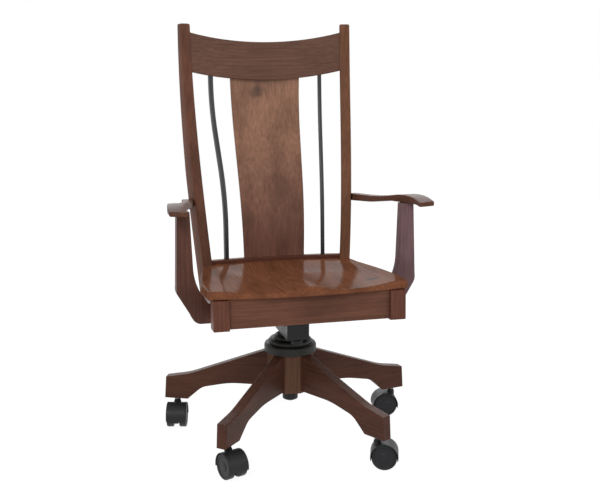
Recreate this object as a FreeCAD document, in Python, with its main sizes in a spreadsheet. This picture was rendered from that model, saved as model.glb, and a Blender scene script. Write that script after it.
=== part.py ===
"""Bankers swivel chair in stained hardwood on a five-leg caster base.

Millimetres, +Z up.  The origin is on the column's axis at floor level, and the
chair faces -Y.  The seat, its aprons, the arms and the back are drawn level in
the seat frame and then leaned back together about the tilt axle.
"""
import FreeCAD, Part
import math
import os
from FreeCAD import Placement, Rotation, Vector

doc = FreeCAD.newDocument("bankers_chair")
sheet = doc.addObject("Spreadsheet::Sheet", "dims")

# Driving sizes: alias, value in millimetres or degrees, what it sets.
SIZES = [
    ("leg_reach", 356.0, "column axis to the end of a base leg"),
    ("leg_wide", 28.5, "thickness of a base leg"),
    ("leg_low", 79.5, "floor to the foot pad under a leg"),
    ("leg_end", 61.5, "height of a leg's end"),
    ("leg_pad", 66.0, "length of the flat foot pad"),
    ("arch_high", 134.0, "floor to the top of the arch under a leg"),
    ("leg_ease", 2.5, "rounding along a leg's edges"),
    ("base_turn", -6.7, "turn of the rear leg from straight back"),
    ("hub_apothem", 60.0, "column axis to a flat of the hub"),
    ("hub_low", 130.0, "floor to the hub's underside"),
    ("hub_top", 237.0, "floor to the hub's top"),
    ("dowel_dia", 10.0, "leg dowel"),
    ("dowel_len", 50.0, "leg dowel length"),
    ("cover_wide", 71.0, "radius of the hub cover"),
    ("cover_high", 46.0, "height of the hub cover"),
    ("cover_wall", 3.0, "wall of the hub cover"),
    ("tube_dia", 42.5, "column outer tube"),
    ("tube_wall", 2.2, "wall of the column tube"),
    ("tube_low", 97.0, "floor to the column's lower end"),
    ("tube_top", 264.0, "floor to the column tube's top"),
    ("ram_dia", 28.0, "pressure tube"),
    ("ram_wall", 2.2, "wall of the pressure tube"),
    ("ram_low", 112.0, "floor to the pressure tube's lower end"),
    ("ram_top", 331.0, "floor to the pressure tube's top"),
    ("rod_dia", 10.0, "piston rod"),
    ("lift_travel", 90.0, "height adjustment"),
    ("bush_len", 50.0, "guide bush in the column's mouth"),
    ("fit", 0.08, "radial clearance of a running fit"),
    ("gap", 0.3, "clearance between neighbours"),
    ("mech_wide", 60.0, "width of the tilt housing"),
    ("mech_low", 288.0, "floor to the tilt housing's floor"),
    ("mech_front", 87.0, "column axis to the housing's front"),
    ("mech_back", 48.0, "column axis to the housing's rear"),
    ("mech_wall", 2.5, "wall of the tilt housing"),
    ("socket_dia", 44.0, "column socket of the housing"),
    ("axle_y", -62.0, "tilt axle, front of the column"),
    ("axle_z", 336.0, "tilt axle height"),
    ("axle_dia", 12.0, "tilt axle"),
    ("rest_pitch", 2.5, "lean of the seat frame at rest"),
    ("plate_low", 364.0, "underside of the seat plate in the seat frame"),
    ("plate_thick", 4.0, "seat plate"),
    ("plate_wide", 184.0, "seat plate width"),
    ("plate_long", 190.0, "seat plate length"),
    ("ear_thick", 3.0, "pivot ear of the seat plate"),
    ("knob_dia", 30.0, "tension knob"),
    ("knob_high", 14.0, "tension knob height"),
    ("knob_y", -71.0, "tension knob, front of the column"),
    ("lever_dia", 8.0, "height lever rod"),
    ("lever_reach", 226.0, "column axis to the lever's end"),
    ("apron_low", 362.0, "apron's lower edge in the seat frame"),
    ("apron_thick", 20.0, "apron board"),
    ("post_low", 359.0, "front corner post's lower end"),
    ("post_size", 41.0, "front corner post's section"),
    ("post_front", 227.4, "front face of the corner posts"),
    ("post_out", 249.6, "outer face of the corner posts"),
    ("apron_inset", 8.0, "aprons set back from the corner posts"),
    ("seat_low", 435.8, "seat board's underside"),
    ("seat_thick", 22.5, "seat board"),
    ("seat_half", 261.5, "half width of the seat at its front corners"),
    ("seat_back_half", 221.0, "half width of the seat at the back posts"),
    ("seat_front", 216.0, "seat's front corners"),
    ("seat_bow", 24.0, "bow of the seat's front edge"),
    ("scoop_deep", 13.0, "depth of the seat's scoops"),
    ("bearer_wide", 40.0, "bearer under the seat"),
    ("bearer_x", 70.0, "bearer's centre line"),
    ("back_wide", 33.5, "back post's width"),
    ("back_deep", 36.0, "back post's depth"),
    ("back_top", 1128.0, "top of the back posts"),
    ("back_y", 153.0, "front face of the back posts at the seat"),
    ("back_x", 205.5, "centre line of the back posts at the seat"),
    ("back_ease", 4.0, "rounding of the back posts' corners"),
    ("rail_top", 469.5, "top of the lower back rail"),
    ("rail_thick", 22.0, "lower back rail"),
    ("rail_bow", 18.0, "bow of the lower rail in plan"),
    ("crest_low", 996.8, "crest rail's lower edge at the posts"),
    ("crest_high", 109.0, "crest rail's height"),
    ("crest_sag", 25.0, "dip of the crest's edges at the centre"),
    ("crest_bow", 25.0, "bow of the crest in plan"),
    ("crest_thick", 22.0, "crest rail"),
    ("splat_thick", 12.0, "splat"),
    ("splat_top", 102.0, "half width of the splat at the crest"),
    ("splat_foot", 88.6, "half width of the splat at the rail"),
    ("bar_wide", 11.0, "steel bar's face"),
    ("bar_deep", 15.0, "steel bar's depth"),
    ("bar_x_top", 160.0, "steel bar at the crest"),
    ("bar_x_foot", 141.0, "steel bar at the rail"),
    ("tenon", 10.0, "depth of the tenons in the rails"),
    ("support_wide", 33.0, "arm support's face"),
    ("support_deep", 46.0, "arm support's depth"),
    ("support_y", -94.0, "front face of the arm supports"),
    ("support_out", 318.0, "outer face of the arm supports at mid height"),
    ("support_low", 353.0, "lower end of the arm supports"),
    ("arm_seat", 643.0, "underside of the arm on its support"),
    ("arm_thick", 20.0, "armrest"),
    ("arm_tip", 190.0, "front end of the armrests"),
    ("arm_tip_out", 345.0, "outer edge of the armrest's tip"),
    ("arm_tip_wide", 46.0, "width of the armrest's tip"),
    ("wheel_dia", 65.0, "caster wheel"),
    ("wheel_wide", 19.0, "caster wheel's width"),
    ("wheel_space", 16.0, "space between a caster's wheels"),
    ("hood_gap", 1.2, "wheel to hood"),
    ("hood_wall", 2.3, "hood"),
    ("caster_trail", 18.0, "stem to wheel axle"),
    ("stem_dia", 11.0, "caster stem"),
    ("pin_dia", 8.0, "caster axle"),
]
for row, (alias, size, note) in enumerate(SIZES, start=1):
    sheet.set("A%d" % row, alias)
    sheet.set("B%d" % row, str(size))
    sheet.set("C%d" % row, note)
    sheet.setAlias("B%d" % row, alias)
doc.recompute()


def val(alias):
    """Number of one cell of the sheet."""
    return float(sheet.get(alias))


FIT = val("fit")
GAP = val("gap")
PIVOT = Vector(0, val("axle_y"), val("axle_z"))
LEAN = Rotation(Vector(1, 0, 0), -val("rest_pitch"))
SEAT_FRAME = Placement(PIVOT - LEAN.multVec(PIVOT), LEAN)
X_AXIS = Vector(1, 0, 0)
Y_AXIS = Vector(0, 1, 0)
Z_AXIS = Vector(0, 0, 1)
parts = []


def keep(obj, label, placement=None):
    """Files an object as a finished piece under its label."""
    obj.Label = label
    if placement is not None:
        obj.Placement = placement
    parts.append(obj)
    return obj


def bind(obj, rules):
    """Binds properties to expressions of the sheet."""
    for prop, rule in rules.items():
        obj.setExpression(prop, rule)


def plane_of(body, role):
    """One of the body's own origin planes."""
    for feature in body.Origin.OriginFeatures:
        if feature.Role == role:
            return feature
    raise ValueError(role)


def new_sketch(body, name, role, offset=0.0):
    """Sketch on one of the body's origin planes, moved along its normal."""
    sketch = body.newObject("Sketcher::SketchObject", name)
    sketch.AttachmentSupport = [(plane_of(body, role), "")]
    sketch.MapMode = "FlatFace"
    sketch.AttachmentOffset = Placement(Vector(0, 0, offset), Rotation())
    return sketch


def flat(u, v):
    """Point of a sketch."""
    return Vector(u, v, 0)


def draw(sketch, steps):
    """Closed outline.  A step is a point for a line, a pair (through, end) for
    an arc, or a list of points for a smooth curve that ends at its last."""
    first = steps[0]
    here = first
    for step in steps[1:] + [first]:
        if isinstance(step, tuple):
            curve = Part.Arc(here, step[0], step[1])
            here = step[1]
        elif isinstance(step, list):
            curve = Part.BSplineCurve()
            curve.interpolate([here] + step)
            here = step[-1]
        else:
            if here.distanceToPoint(step) < 1e-6:
                continue
            curve = Part.LineSegment(here, step)
            here = step
        sketch.addGeometry(curve, False)


def tangent_arc(before, corner, after, radius):
    """Steps that round a corner of an outline with an arc tangent to both its lines."""
    back = (before - corner).normalize()
    ahead = (after - corner).normalize()
    half = back.getAngle(ahead) / 2
    centre = corner + (back + ahead).normalize() * (radius / math.sin(half))
    reach = radius / math.tan(half)
    middle = centre + (corner - centre).normalize() * radius
    return [corner + back * reach, (middle, corner + ahead * reach)]


def pad(body, sketch, rule, both=True, name="Pad"):
    """Pad of a sketch by an expression, to both sides of its plane or to one."""
    feature = body.newObject("PartDesign::Pad", name)
    feature.Profile = sketch
    feature.setExpression("Length", rule)
    feature.SideType = "Symmetric" if both else "One side"
    body.Tip = feature
    return feature


def pocket(body, sketch, name="Pocket"):
    """Pocket through everything, to both sides of the sketch's plane."""
    feature = body.newObject("PartDesign::Pocket", name)
    feature.Profile = sketch
    feature.Type = "ThroughAll"
    feature.SideType = "Symmetric"
    body.Tip = feature
    return feature


def new_body(name):
    return doc.addObject("PartDesign::Body", name)


def box(name, corner, size):
    """Box from its low corner; both are given as expressions."""
    obj = doc.addObject("Part::Box", name)
    bind(obj, {"Length": size[0], "Width": size[1], "Height": size[2]})
    bind(obj, {"Placement.Base.x": corner[0], "Placement.Base.y": corner[1], "Placement.Base.z": corner[2]})
    return obj


def cylinder(name, radius, height, at, along=Z_AXIS):
    """Cylinder from the centre of its lower face; radius and height are expressions."""
    obj = doc.addObject("Part::Cylinder", name)
    bind(obj, {"Radius": radius, "Height": height})
    obj.Placement = Placement(at, Rotation(Z_AXIS, along))
    return obj


def cut(name, base, tools):
    """Base with the tools taken out."""
    tool = tools[0]
    if len(tools) > 1:
        tool = doc.addObject("Part::MultiFuse", name + "_tools")
        tool.Shapes = tools
    obj = doc.addObject("Part::Cut", name)
    obj.Base = base
    obj.Tool = tool
    return obj


def fuse(name, shapes):
    obj = doc.addObject("Part::MultiFuse", name)
    obj.Shapes = shapes
    obj.Refine = True
    return obj


def group(name, members):
    """Separate solids filed as one piece."""
    obj = doc.addObject("Part::Compound", name)
    obj.Links = members
    return obj


def solid_feature(name, shape):
    obj = doc.addObject("Part::Feature", name)
    obj.Shape = shape
    return obj


def rounded_box_wire(cx, cy, z, wide, deep, ease, turn=0.0):
    """Level rectangle with rounded corners, turned about its centre."""
    half_w = wide / 2
    half_d = deep / 2
    corners = [(half_w, -half_d), (half_w, half_d), (-half_w, half_d), (-half_w, -half_d)]
    diag = ease * (1 - math.sqrt(0.5))
    edges = []
    ends = []
    for sx, sy in [(1, -1), (1, 1), (-1, 1), (-1, -1)]:
        px = sx * half_w
        py = sy * half_d
        along_x = Vector(px - sx * ease, py, 0)
        along_y = Vector(px, py - sy * ease, 0)
        middle = Vector(px - sx * diag, py - sy * diag, 0)
        first_x = sx * sy < 0
        start, stop = (along_x, along_y) if first_x else (along_y, along_x)
        ends.append((start, middle, stop))
    for index, (start, middle, stop) in enumerate(ends):
        edges.append(Part.Arc(start, middle, stop).toShape())
        edges.append(Part.LineSegment(stop, ends[(index + 1) % len(corners)][0]).toShape())
    wire = Part.Wire(edges)
    wire.Placement = Placement(Vector(cx, cy, z), Rotation(Z_AXIS, turn))
    return wire


def revolved(name, steps, label=None, placement=None):
    """Body turned about Z from an outline of (radius, height) points."""
    body = new_body(name)
    sketch = new_sketch(body, name + "_profile", "XZ_Plane")
    draw(sketch, steps)
    turn = body.newObject("PartDesign::Revolution", name + "_turn")
    turn.Profile = sketch
    turn.ReferenceAxis = (sketch, ["V_Axis"])
    turn.Angle = 360
    body.Tip = turn
    if label:
        keep(body, label, placement)
    return body


def ease_edges(body, radius, choose, name):
    """Fillet on the tip's edges that the test picks."""
    doc.recompute()
    tip = body.Tip
    names = ["Edge%d" % (i + 1) for i, edge in enumerate(tip.Shape.Edges) if choose(edge)]
    fillet = body.newObject("PartDesign::Fillet", name)
    fillet.Base = (tip, names)
    fillet.setExpression("Radius", radius)
    body.Tip = fillet
    return fillet


# Base: hub, legs, dowels, caster sockets.

LEG_TURNS = [90 + val("base_turn") + 72 * k for k in range(5)]
HUB_HEIGHT = val("hub_top") - val("hub_low")
DOWEL_HEIGHTS = [val("hub_low") + HUB_HEIGHT * share for share in (0.28, 0.75)]
SOCKET_REACH = val("leg_reach") - val("leg_pad") / 2
SOCKET_DEEP = 40.0
SOCKET_WALL = 1.4
SOCKET_RIM = 1.5


def about_column(angle):
    return Placement(Vector(0, 0, 0), Rotation(Z_AXIS, angle))


def dowel_row(name, radius, reach=0.0):
    """Cylinders lying along X where a leg meets its hub flat."""
    start = val("hub_apothem") - val("dowel_len") / 2 - reach
    length = "dims.dowel_len + 2 * %s" % reach
    return [cylinder("%s_%d" % (name, i), radius, length, Vector(start, 0, z), X_AXIS)
            for i, z in enumerate(DOWEL_HEIGHTS)]


def turned_copy(name, source, placement):
    """Same shape, carried to another place."""
    copy = doc.addObject("Part::Compound", name)
    copy.Links = [source]
    copy.Placement = placement
    return copy


def make_hub():
    body = new_body("hub_blank")
    sketch = new_sketch(body, "hub_outline", "XY_Plane", val("hub_low"))
    radius = val("hub_apothem") / math.cos(math.radians(18))
    corners = [flat(radius * math.cos(math.radians(LEG_TURNS[0] + 18 + 36 * i)),
                    radius * math.sin(math.radians(LEG_TURNS[0] + 18 + 36 * i))) for i in range(10)]
    draw(sketch, corners)
    pad(body, sketch, "dims.hub_top - dims.hub_low", both=False, name="hub_pad")
    bore_sketch = new_sketch(body, "hub_bore_circle", "XY_Plane", val("hub_low"))
    bore_sketch.addGeometry(Part.Circle(flat(0, 0), Z_AXIS, val("tube_dia") / 2 + FIT), False)
    pocket(body, bore_sketch, "hub_bore")
    ease_edges(body, "1.5", lambda e: abs(e.Length - HUB_HEIGHT) < 0.01 and e.CenterOfMass.Length > 50
               and math.hypot(e.CenterOfMass.x, e.CenterOfMass.y) > val("tube_dia"), "hub_ease")
    holes = [turned_copy("hub_holes_%d" % k, hole, about_column(angle))
             for k, angle in enumerate(LEG_TURNS)
             for hole in dowel_row("hub_hole_%d" % k, "dims.dowel_dia / 2 + dims.fit", 1.0)]
    keep(cut("hub", body, holes), "base_hub")


def make_leg(index, angle):
    """One leg: a sawn board with a foot pad, an arch below and a swept top."""
    low = val("leg_low")
    reach = val("leg_reach")
    root = val("hub_apothem")
    pad_in = reach - val("leg_pad")
    arch = val("arch_high")
    top = val("hub_top")
    body = new_body("leg_blank_%d" % index)
    sketch = new_sketch(body, "leg_outline_%d" % index, "XZ_Plane")
    end_top = low + val("leg_end")
    root_low = flat(root, arch)
    arch_end = flat(0.58 * pad_in, arch)
    knee = flat(pad_in - 42, low + 37.5)
    heel = flat(pad_in, low)
    tip_top = flat(reach - 4, end_top)
    bend = flat(reach - 70, end_top + 12)
    root_top = flat(root, top)
    steps = [root_low] + tangent_arc(root_low, arch_end, knee, 240) + tangent_arc(arch_end, knee, heel, 55)
    steps += [heel, flat(reach, low), tip_top] + tangent_arc(tip_top, bend, root_top, 200) + [root_top]
    draw(sketch, steps)
    pad(body, sketch, "dims.leg_wide", name="leg_pad_%d" % index)
    half = val("leg_wide") / 2

    def on_side_rim(edge):
        centre = edge.CenterOfMass
        box_ = edge.BoundBox
        return abs(abs(centre.y) - half) < 0.01 and box_.YLength < 0.01 and centre.x > root + 1
    ease_edges(body, "dims.leg_ease", on_side_rim, "leg_ease_%d" % index)
    holes = dowel_row("leg_hole_%d" % index, "dims.dowel_dia / 2 + dims.fit", 1.0)
    holes.append(cylinder("leg_socket_%d" % index, "dims.stem_dia / 2 + %s + 2 * dims.fit" % SOCKET_WALL,
                          "%s + 1" % SOCKET_DEEP, Vector(SOCKET_REACH, 0, low - 0.5)))
    keep(cut("leg_%d" % index, body, holes), "base_leg_%d" % index, about_column(angle))


def make_dowels():
    members = [turned_copy("dowel_%d" % k, dowel, about_column(angle))
               for k, angle in enumerate(LEG_TURNS)
               for dowel in dowel_row("dowel_rod_%d" % k, "dims.dowel_dia / 2")]
    keep(group("dowels", members), "leg_dowels")


def make_sockets():
    """Steel sleeves that hold the caster stems, with a rim under each leg."""
    inner = val("stem_dia") / 2 + FIT
    outer = inner + SOCKET_WALL
    low = val("leg_low")
    steps = [flat(inner, low - SOCKET_RIM), flat(outer + 4, low - SOCKET_RIM), flat(outer + 4, low),
             flat(outer, low), flat(outer, low + SOCKET_DEEP), flat(inner, low + SOCKET_DEEP)]
    members = []
    for k, angle in enumerate(LEG_TURNS):
        sleeve = revolved("sleeve_%d" % k, steps)
        sleeve.Placement = about_column(angle).multiply(Placement(Vector(SOCKET_REACH, 0, 0), Rotation()))
        members.append(sleeve)
    keep(group("sleeves", members), "caster_sockets")


make_hub()
for leg_index, leg_angle in enumerate(LEG_TURNS, start=1):
    make_leg(leg_index, leg_angle)
make_dowels()
make_sockets()


# Column: cover, outer tube, guide bush, bearing, rod, clip, pressure tube.

def make_cover():
    """Stepped round cover over the hub, open above for the pressure tube."""
    low = val("hub_top")
    wide = val("cover_wide")
    high = val("cover_high")
    wall = val("cover_wall")
    mouth = val("ram_dia") / 2 + 2.5
    top = low + high
    tiers = [(wide, 0.0), (wide, 0.26), (0.84 * wide, 0.52), (0.64 * wide, 0.78), (0.40 * wide, 1.0)]
    flange = val("hub_apothem") - 8
    steps = [flat(flange, low), flat(wide, low)]
    for (r0, s0), (r1, s1) in zip(tiers[1:], tiers[2:]):
        z0 = low + s0 * high
        z1 = low + s1 * high
        steps.append(flat(r0, z0))
        bulge = flat(r0 - 0.22 * (r0 - r1), z0 + 0.72 * (z1 - z0))
        steps.append((bulge, flat(r1 + 0.1 * (r0 - r1), z1)))
    steps.append(flat(mouth, top))
    steps.append(flat(mouth, top - wall))
    for (r0, s0), (r1, s1) in reversed(list(zip(tiers[1:], tiers[2:]))):
        steps.append(flat(max(r1 - wall, mouth + 0.5), low + s1 * high - wall))
        steps.append(flat(r0 - 1.6 * wall, low + s0 * high + 0.5))
    steps.append(flat(wide - 1.6 * wall, low + wall))
    steps.append(flat(flange, low + wall))
    revolved("cover", steps, "hub_cover")


def make_column():
    outer = val("tube_dia") / 2
    inner = outer - val("tube_wall")
    low = val("tube_low")
    floor = 3.0
    hole = val("rod_dia") / 2 + 1.0
    steps = [flat(hole, low), flat(outer - 4, low), (flat(outer - 1.2, low + 1.2), flat(outer, low + 4)),
             flat(outer, val("tube_top")), flat(inner, val("tube_top")), flat(inner, low + floor),
             flat(hole, low + floor)]
    revolved("tube", steps, "column_tube")
    bush_in = val("ram_dia") / 2 + FIT
    bush_low = val("tube_top") - val("bush_len")
    bush = [flat(bush_in, bush_low), flat(inner, bush_low), flat(inner, val("tube_top")),
            flat(outer, val("tube_top")), flat(outer, val("tube_top") + 2), flat(bush_in, val("tube_top") + 2)]
    revolved("bush", bush, "guide_bush")
    race_low = low + floor
    race = [flat(hole, race_low), flat(hole + 7, race_low), flat(hole + 7, race_low + 5), flat(hole, race_low + 5)]
    revolved("race", race, "thrust_bearing")
    rod = val("rod_dia") / 2
    neck = rod - 1.2
    clip_low = low - 4.0
    collar = race_low + 5 + GAP
    piston = val("ram_low") + 8 + val("lift_travel") + 3
    piston_r = val("ram_dia") / 2 - val("ram_wall") - 2 * FIT
    steps = [flat(0, clip_low - 2), flat(rod, clip_low - 2), flat(rod, clip_low), flat(neck, clip_low),
             flat(neck, clip_low + 2), flat(rod, clip_low + 2), flat(rod, collar), flat(rod + 3, collar),
             flat(rod + 3, collar + 2.5), flat(rod, collar + 2.5), flat(rod, piston), flat(piston_r, piston),
             flat(piston_r, piston + 12), flat(0, piston + 12)]
    revolved("rod", steps, "piston_rod")
    clip = [flat(neck, clip_low), flat(rod + 5, clip_low), flat(rod + 5, clip_low + 2), flat(neck, clip_low + 2)]
    revolved("clip", clip, "rod_clip")
    ram = val("ram_dia") / 2
    bore = ram - val("ram_wall")
    gland = rod + 2 * FIT
    top = val("ram_top")
    steps = [flat(gland, val("ram_low")), flat(ram - 1, val("ram_low")), flat(ram, val("ram_low") + 1),
             flat(ram, top), flat(4, top), flat(4, top + 3), flat(0, top + 3), flat(0, top - 10),
             flat(bore, top - 10), flat(bore, val("ram_low") + 8), flat(gland, val("ram_low") + 8)]
    revolved("ram", steps, "pressure_tube")


make_cover()
make_column()


# Tilt mechanism: housing, axle, rubber torsion sleeve, knob, lever, seat plate.

WALL = val("mech_wall")
MECH_HALF = val("mech_wide") / 2
WALL_TOP = val("axle_z") + 16
LEVER_Z = val("ram_top") + 10.5
LEVER_TAB = 12.0
LEVER_PIN_X = -MECH_HALF + 5


def make_housing():
    """Pressed steel channel with the column socket and two lever tabs."""
    low = val("mech_low")
    front = -val("mech_front")
    back = val("mech_back")
    body = new_body("housing_blank")
    sketch = new_sketch(body, "housing_side", "YZ_Plane")
    tab = LEVER_TAB + 2
    slope_top = LEVER_Z - 5
    steps = [flat(front, low), flat(back, low), flat(back, low + 34), flat(tab, slope_top),
             flat(tab, LEVER_Z - 2), flat(-tab, LEVER_Z - 2), flat(-tab - 12, WALL_TOP),
             flat(front + 8, WALL_TOP), (flat(front + 2.3, WALL_TOP - 2.3), flat(front, WALL_TOP - 8))]
    draw(sketch, steps)
    pad(body, sketch, "dims.mech_wide", name="housing_pad")
    trough = box("housing_trough", ("-dims.mech_wide / 2 + dims.mech_wall", "-dims.mech_front + dims.mech_wall",
                                    "dims.mech_low + dims.mech_wall"),
                 ("dims.mech_wide - 2 * dims.mech_wall", "dims.mech_front + dims.mech_back", "200"))
    slot = box("lever_slot", ("-dims.mech_wide / 2 - 1", "-%s" % (LEVER_TAB - 3), str(LEVER_Z - 6)),
               ("dims.mech_wall + 2", "2 * %s" % (LEVER_TAB - 3), "30"))
    channel = cut("housing_channel", body, [trough, slot])
    socket = cylinder("housing_socket", "dims.socket_dia / 2", "dims.ram_top - dims.mech_low - dims.mech_wall",
                      Vector(0, 0, low + WALL))
    lugs = [box("lever_lug_%d" % i, ("-dims.mech_wide / 2", str(y), str(LEVER_Z - 12)), ("10", "5", "16"))
            for i, y in enumerate((-tab, tab - 5))]
    blank = fuse("housing_fused", [channel, socket] + lugs)
    bore = cylinder("housing_bore", "dims.ram_dia / 2", "100", Vector(0, 0, low - 10))
    axle = cylinder("housing_axle_hole", "dims.axle_dia / 2 + dims.fit", "dims.mech_wide + 10",
                    PIVOT - Vector(MECH_HALF + 5, 0, 0), X_AXIS)
    bolt = cylinder("housing_bolt_hole", "5 + dims.fit", "20", Vector(0, val("knob_y"), low - 5))
    pin = cylinder("lever_pin_hole", "2.5 + dims.fit", "2 * %s + 10" % LEVER_TAB,
                   Vector(LEVER_PIN_X, -LEVER_TAB - 5, LEVER_Z), Y_AXIS)
    keep(cut("housing", blank, [bore, axle, bolt, pin]), "tilt_housing")


def make_axle_parts():
    ear = "dims.mech_wide + 4 * dims.gap + 2 * dims.ear_thick"
    span = val("mech_wide") + 4 * GAP + 2 * val("ear_thick")
    reach = span / 2 + 6
    shaft = cylinder("axle_shaft", "dims.axle_dia / 2", "%s + 12" % ear, PIVOT - Vector(reach, 0, 0), X_AXIS)
    heads = [cylinder("axle_head_%d" % i, "dims.axle_dia / 2 + 3", "4", PIVOT + Vector(x, 0, 0), X_AXIS)
             for i, x in enumerate((-span / 2 - GAP - 4, span / 2 + GAP))]
    keep(fuse("axle", [shaft] + heads), "tilt_axle")
    length = "dims.mech_wide - 2 * dims.mech_wall - 2 * dims.gap"
    start = PIVOT - Vector(MECH_HALF - WALL - GAP, 0, 0)
    sleeve = cylinder("sleeve_blank", "17", length, start, X_AXIS)
    bore = cylinder("sleeve_bore", "dims.axle_dia / 2", length, start, X_AXIS)
    keep(cut("torsion", sleeve, [bore]), "torsion_sleeve")


def make_knob():
    """Tension knob with eight finger hollows on a bolt through the housing floor."""
    radius = val("knob_dia") / 2
    low = val("mech_low") - val("knob_high") - 3
    top = low + val("knob_high")
    bolt_top = val("mech_low") + WALL + 8
    steps = [flat(0, low), flat(radius - 4, low), (flat(radius - 1.2, low + 1.2), flat(radius, low + 4)),
             flat(radius, top - 1.5), flat(radius - 1.5, top), flat(8, top), flat(8, top + 3 - GAP),
             flat(5, top + 3 - GAP), flat(5, bolt_top), flat(0, bolt_top)]
    blank = revolved("knob_blank", steps)
    hollows = [cylinder("knob_hollow_%d" % i, "3.5", "dims.knob_high + 4",
                        Vector((radius + 1.8) * math.cos(math.radians(45 * i)),
                               (radius + 1.8) * math.sin(math.radians(45 * i)), low - 2)) for i in range(8)]
    keep(cut("knob", blank, hollows), "tension_knob", Placement(Vector(0, val("knob_y"), 0), Rotation()))


def make_lever():
    """Bent rod that reaches under the right-hand apron, with a flat paddle."""
    pivot_x = LEVER_PIN_X
    drop = LEVER_Z - 8
    row = val("axle_y") - 18
    reach = -val("lever_reach")
    points = [Vector(6, 0, LEVER_Z), Vector(pivot_x - 10, 0, LEVER_Z), Vector(pivot_x - 30, -25, drop),
              Vector(pivot_x - 40, row + 14, drop), Vector(pivot_x - 58, row, drop),
              Vector(reach + 40, row, drop)]
    rod = Part.Wire([Part.LineSegment(a, b).toShape() for a, b in zip(points, points[1:])])
    section = Part.Wire(Part.makeCircle(val("lever_dia") / 2, points[0], points[1] - points[0]))
    pipe = rod.makePipeShell([section], True, False, 2)
    paddle = Part.makeBox(50, 18, 7, Vector(reach, row - 9, drop - 3.5))
    paddle = paddle.makeFillet(3, paddle.Edges)
    pin = Part.makeCylinder(2.5, 2 * LEVER_TAB + 2, Vector(pivot_x, -LEVER_TAB - 1, LEVER_Z), Y_AXIS)
    keep(solid_feature("lever", pipe.fuse([paddle, pin]).removeSplitter()), "height_lever")


def make_seat_plate():
    """Steel plate with two ears that hang over the housing and hold the axle."""
    plate = box("plate_flat", ("-dims.plate_wide / 2", "-dims.plate_long / 2", "dims.plate_low"),
                ("dims.plate_wide", "dims.plate_long", "dims.plate_thick"))
    ears = []
    for index, side in enumerate((-1, 1)):
        inner = MECH_HALF + 2 * GAP
        start = side * inner if side > 0 else -inner - val("ear_thick")
        body = new_body("ear_%d" % index)
        sketch = new_sketch(body, "ear_side_%d" % index, "YZ_Plane", start)
        y = val("axle_y")
        z = val("axle_z")
        top = val("plate_low") + 1
        draw(sketch, [flat(y - 26, top), flat(y - 13, z - 3), (flat(y, z - 14), flat(y + 13, z - 3)),
                      flat(y + 34, top)])
        pad(body, sketch, "dims.ear_thick", both=False, name="ear_pad_%d" % index)
        ears.append(body)
    blank = fuse("plate_fused", [plate] + ears)
    hole = cylinder("plate_axle_hole", "dims.axle_dia / 2 + dims.fit", "dims.plate_wide",
                    PIVOT - Vector(val("plate_wide") / 2, 0, 0), X_AXIS)
    holes = [cylinder("plate_hole_%d" % i, "4 + dims.fit", "20", Vector(x, y, val("plate_low") - 5))
             for i, (x, y) in enumerate(plate_bolt_places())]
    keep(cut("plate", blank, [hole] + holes), "seat_plate", SEAT_FRAME)


def plate_bolt_places():
    x = val("bearer_x")
    y = val("plate_long") / 2 - 14
    return [(-x, -y), (x, -y), (-x, y), (x, y)]


def make_plate_bolts():
    members = []
    for index, (x, y) in enumerate(plate_bolt_places()):
        low = val("plate_low")
        shank = cylinder("bolt_shank_%d" % index, "4", "36", Vector(x, y, low))
        head = doc.addObject("Part::Prism", "bolt_head_%d" % index)
        head.Polygon = 6
        head.Circumradius = 7.5
        head.Height = 5
        head.Placement = Placement(Vector(x, y, low - 5), Rotation())
        members.append(fuse("bolt_%d" % index, [shank, head]))
    keep(group("bolts", members), "plate_bolts", SEAT_FRAME)


make_housing()
make_axle_parts()
make_knob()
make_lever()
make_seat_plate()
make_plate_bolts()


# Side curves of the back, in the seat frame: Y of a line that leans as it rises.

def lean_curve(start_y, start_z, marks):
    """Y as a function of Z.  Marks are (height, lean in degrees); between two
    marks the lean changes evenly, which makes an arc, or stays, a line."""
    def at(z):
        y = start_y
        here = start_z
        lean = marks[0][1]
        if z < marks[0][0]:
            return start_y + (z - start_z) * math.tan(math.radians(lean))
        y += (marks[0][0] - start_z) * math.tan(math.radians(lean))
        here = marks[0][0]
        for height, next_lean in marks[1:]:
            stop = min(z, height)
            share = (stop - here) / (height - here)
            mid = lean + (next_lean - lean) * share / 2
            y += (stop - here) * math.tan(math.radians(mid))
            if z <= height:
                return y
            here = height
            lean = next_lean
        return y + (z - here) * math.tan(math.radians(lean))
    return at


SEAT_TOP = val("seat_low") + val("seat_thick")
RAIL_TOP = val("rail_top")
BACK_TOP = val("back_top")
CREST_LOW = val("crest_low")
post_y = lean_curve(val("back_y"), RAIL_TOP, [(RAIL_TOP + 15, 4.5), (RAIL_TOP + 155, 11.0),
                                             (RAIL_TOP + 330, 11.0), (BACK_TOP, 3.5)])
slat_marks = [(RAIL_TOP + 45, 0.0), (RAIL_TOP + 230, 17.0), (RAIL_TOP + 300, 17.0), (CREST_LOW - 12, 6.5)]
splat_y = lean_curve(val("back_y") + 15, RAIL_TOP, slat_marks)
bar_y = lean_curve(val("back_y") + 1.5, RAIL_TOP, slat_marks)


def post_x(z):
    """Centre line of a back post seen from the front: an arc that straightens upward."""
    foot_lean = math.tan(math.radians(3.9))
    top_lean = math.tan(math.radians(1.2))
    rise = z - RAIL_TOP
    span = BACK_TOP - RAIL_TOP
    if rise < 0:
        return val("back_x") + rise * foot_lean
    return val("back_x") + foot_lean * rise + (top_lean - foot_lean) * rise * rise / (2 * span)


def post_inner(z):
    return post_x(z) - val("back_wide") / 2


def post_outer(z):
    return post_x(z) + val("back_wide") / 2


def stations(low, high, count):
    return [low + (high - low) * i / (count - 1) for i in range(count)]


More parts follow.
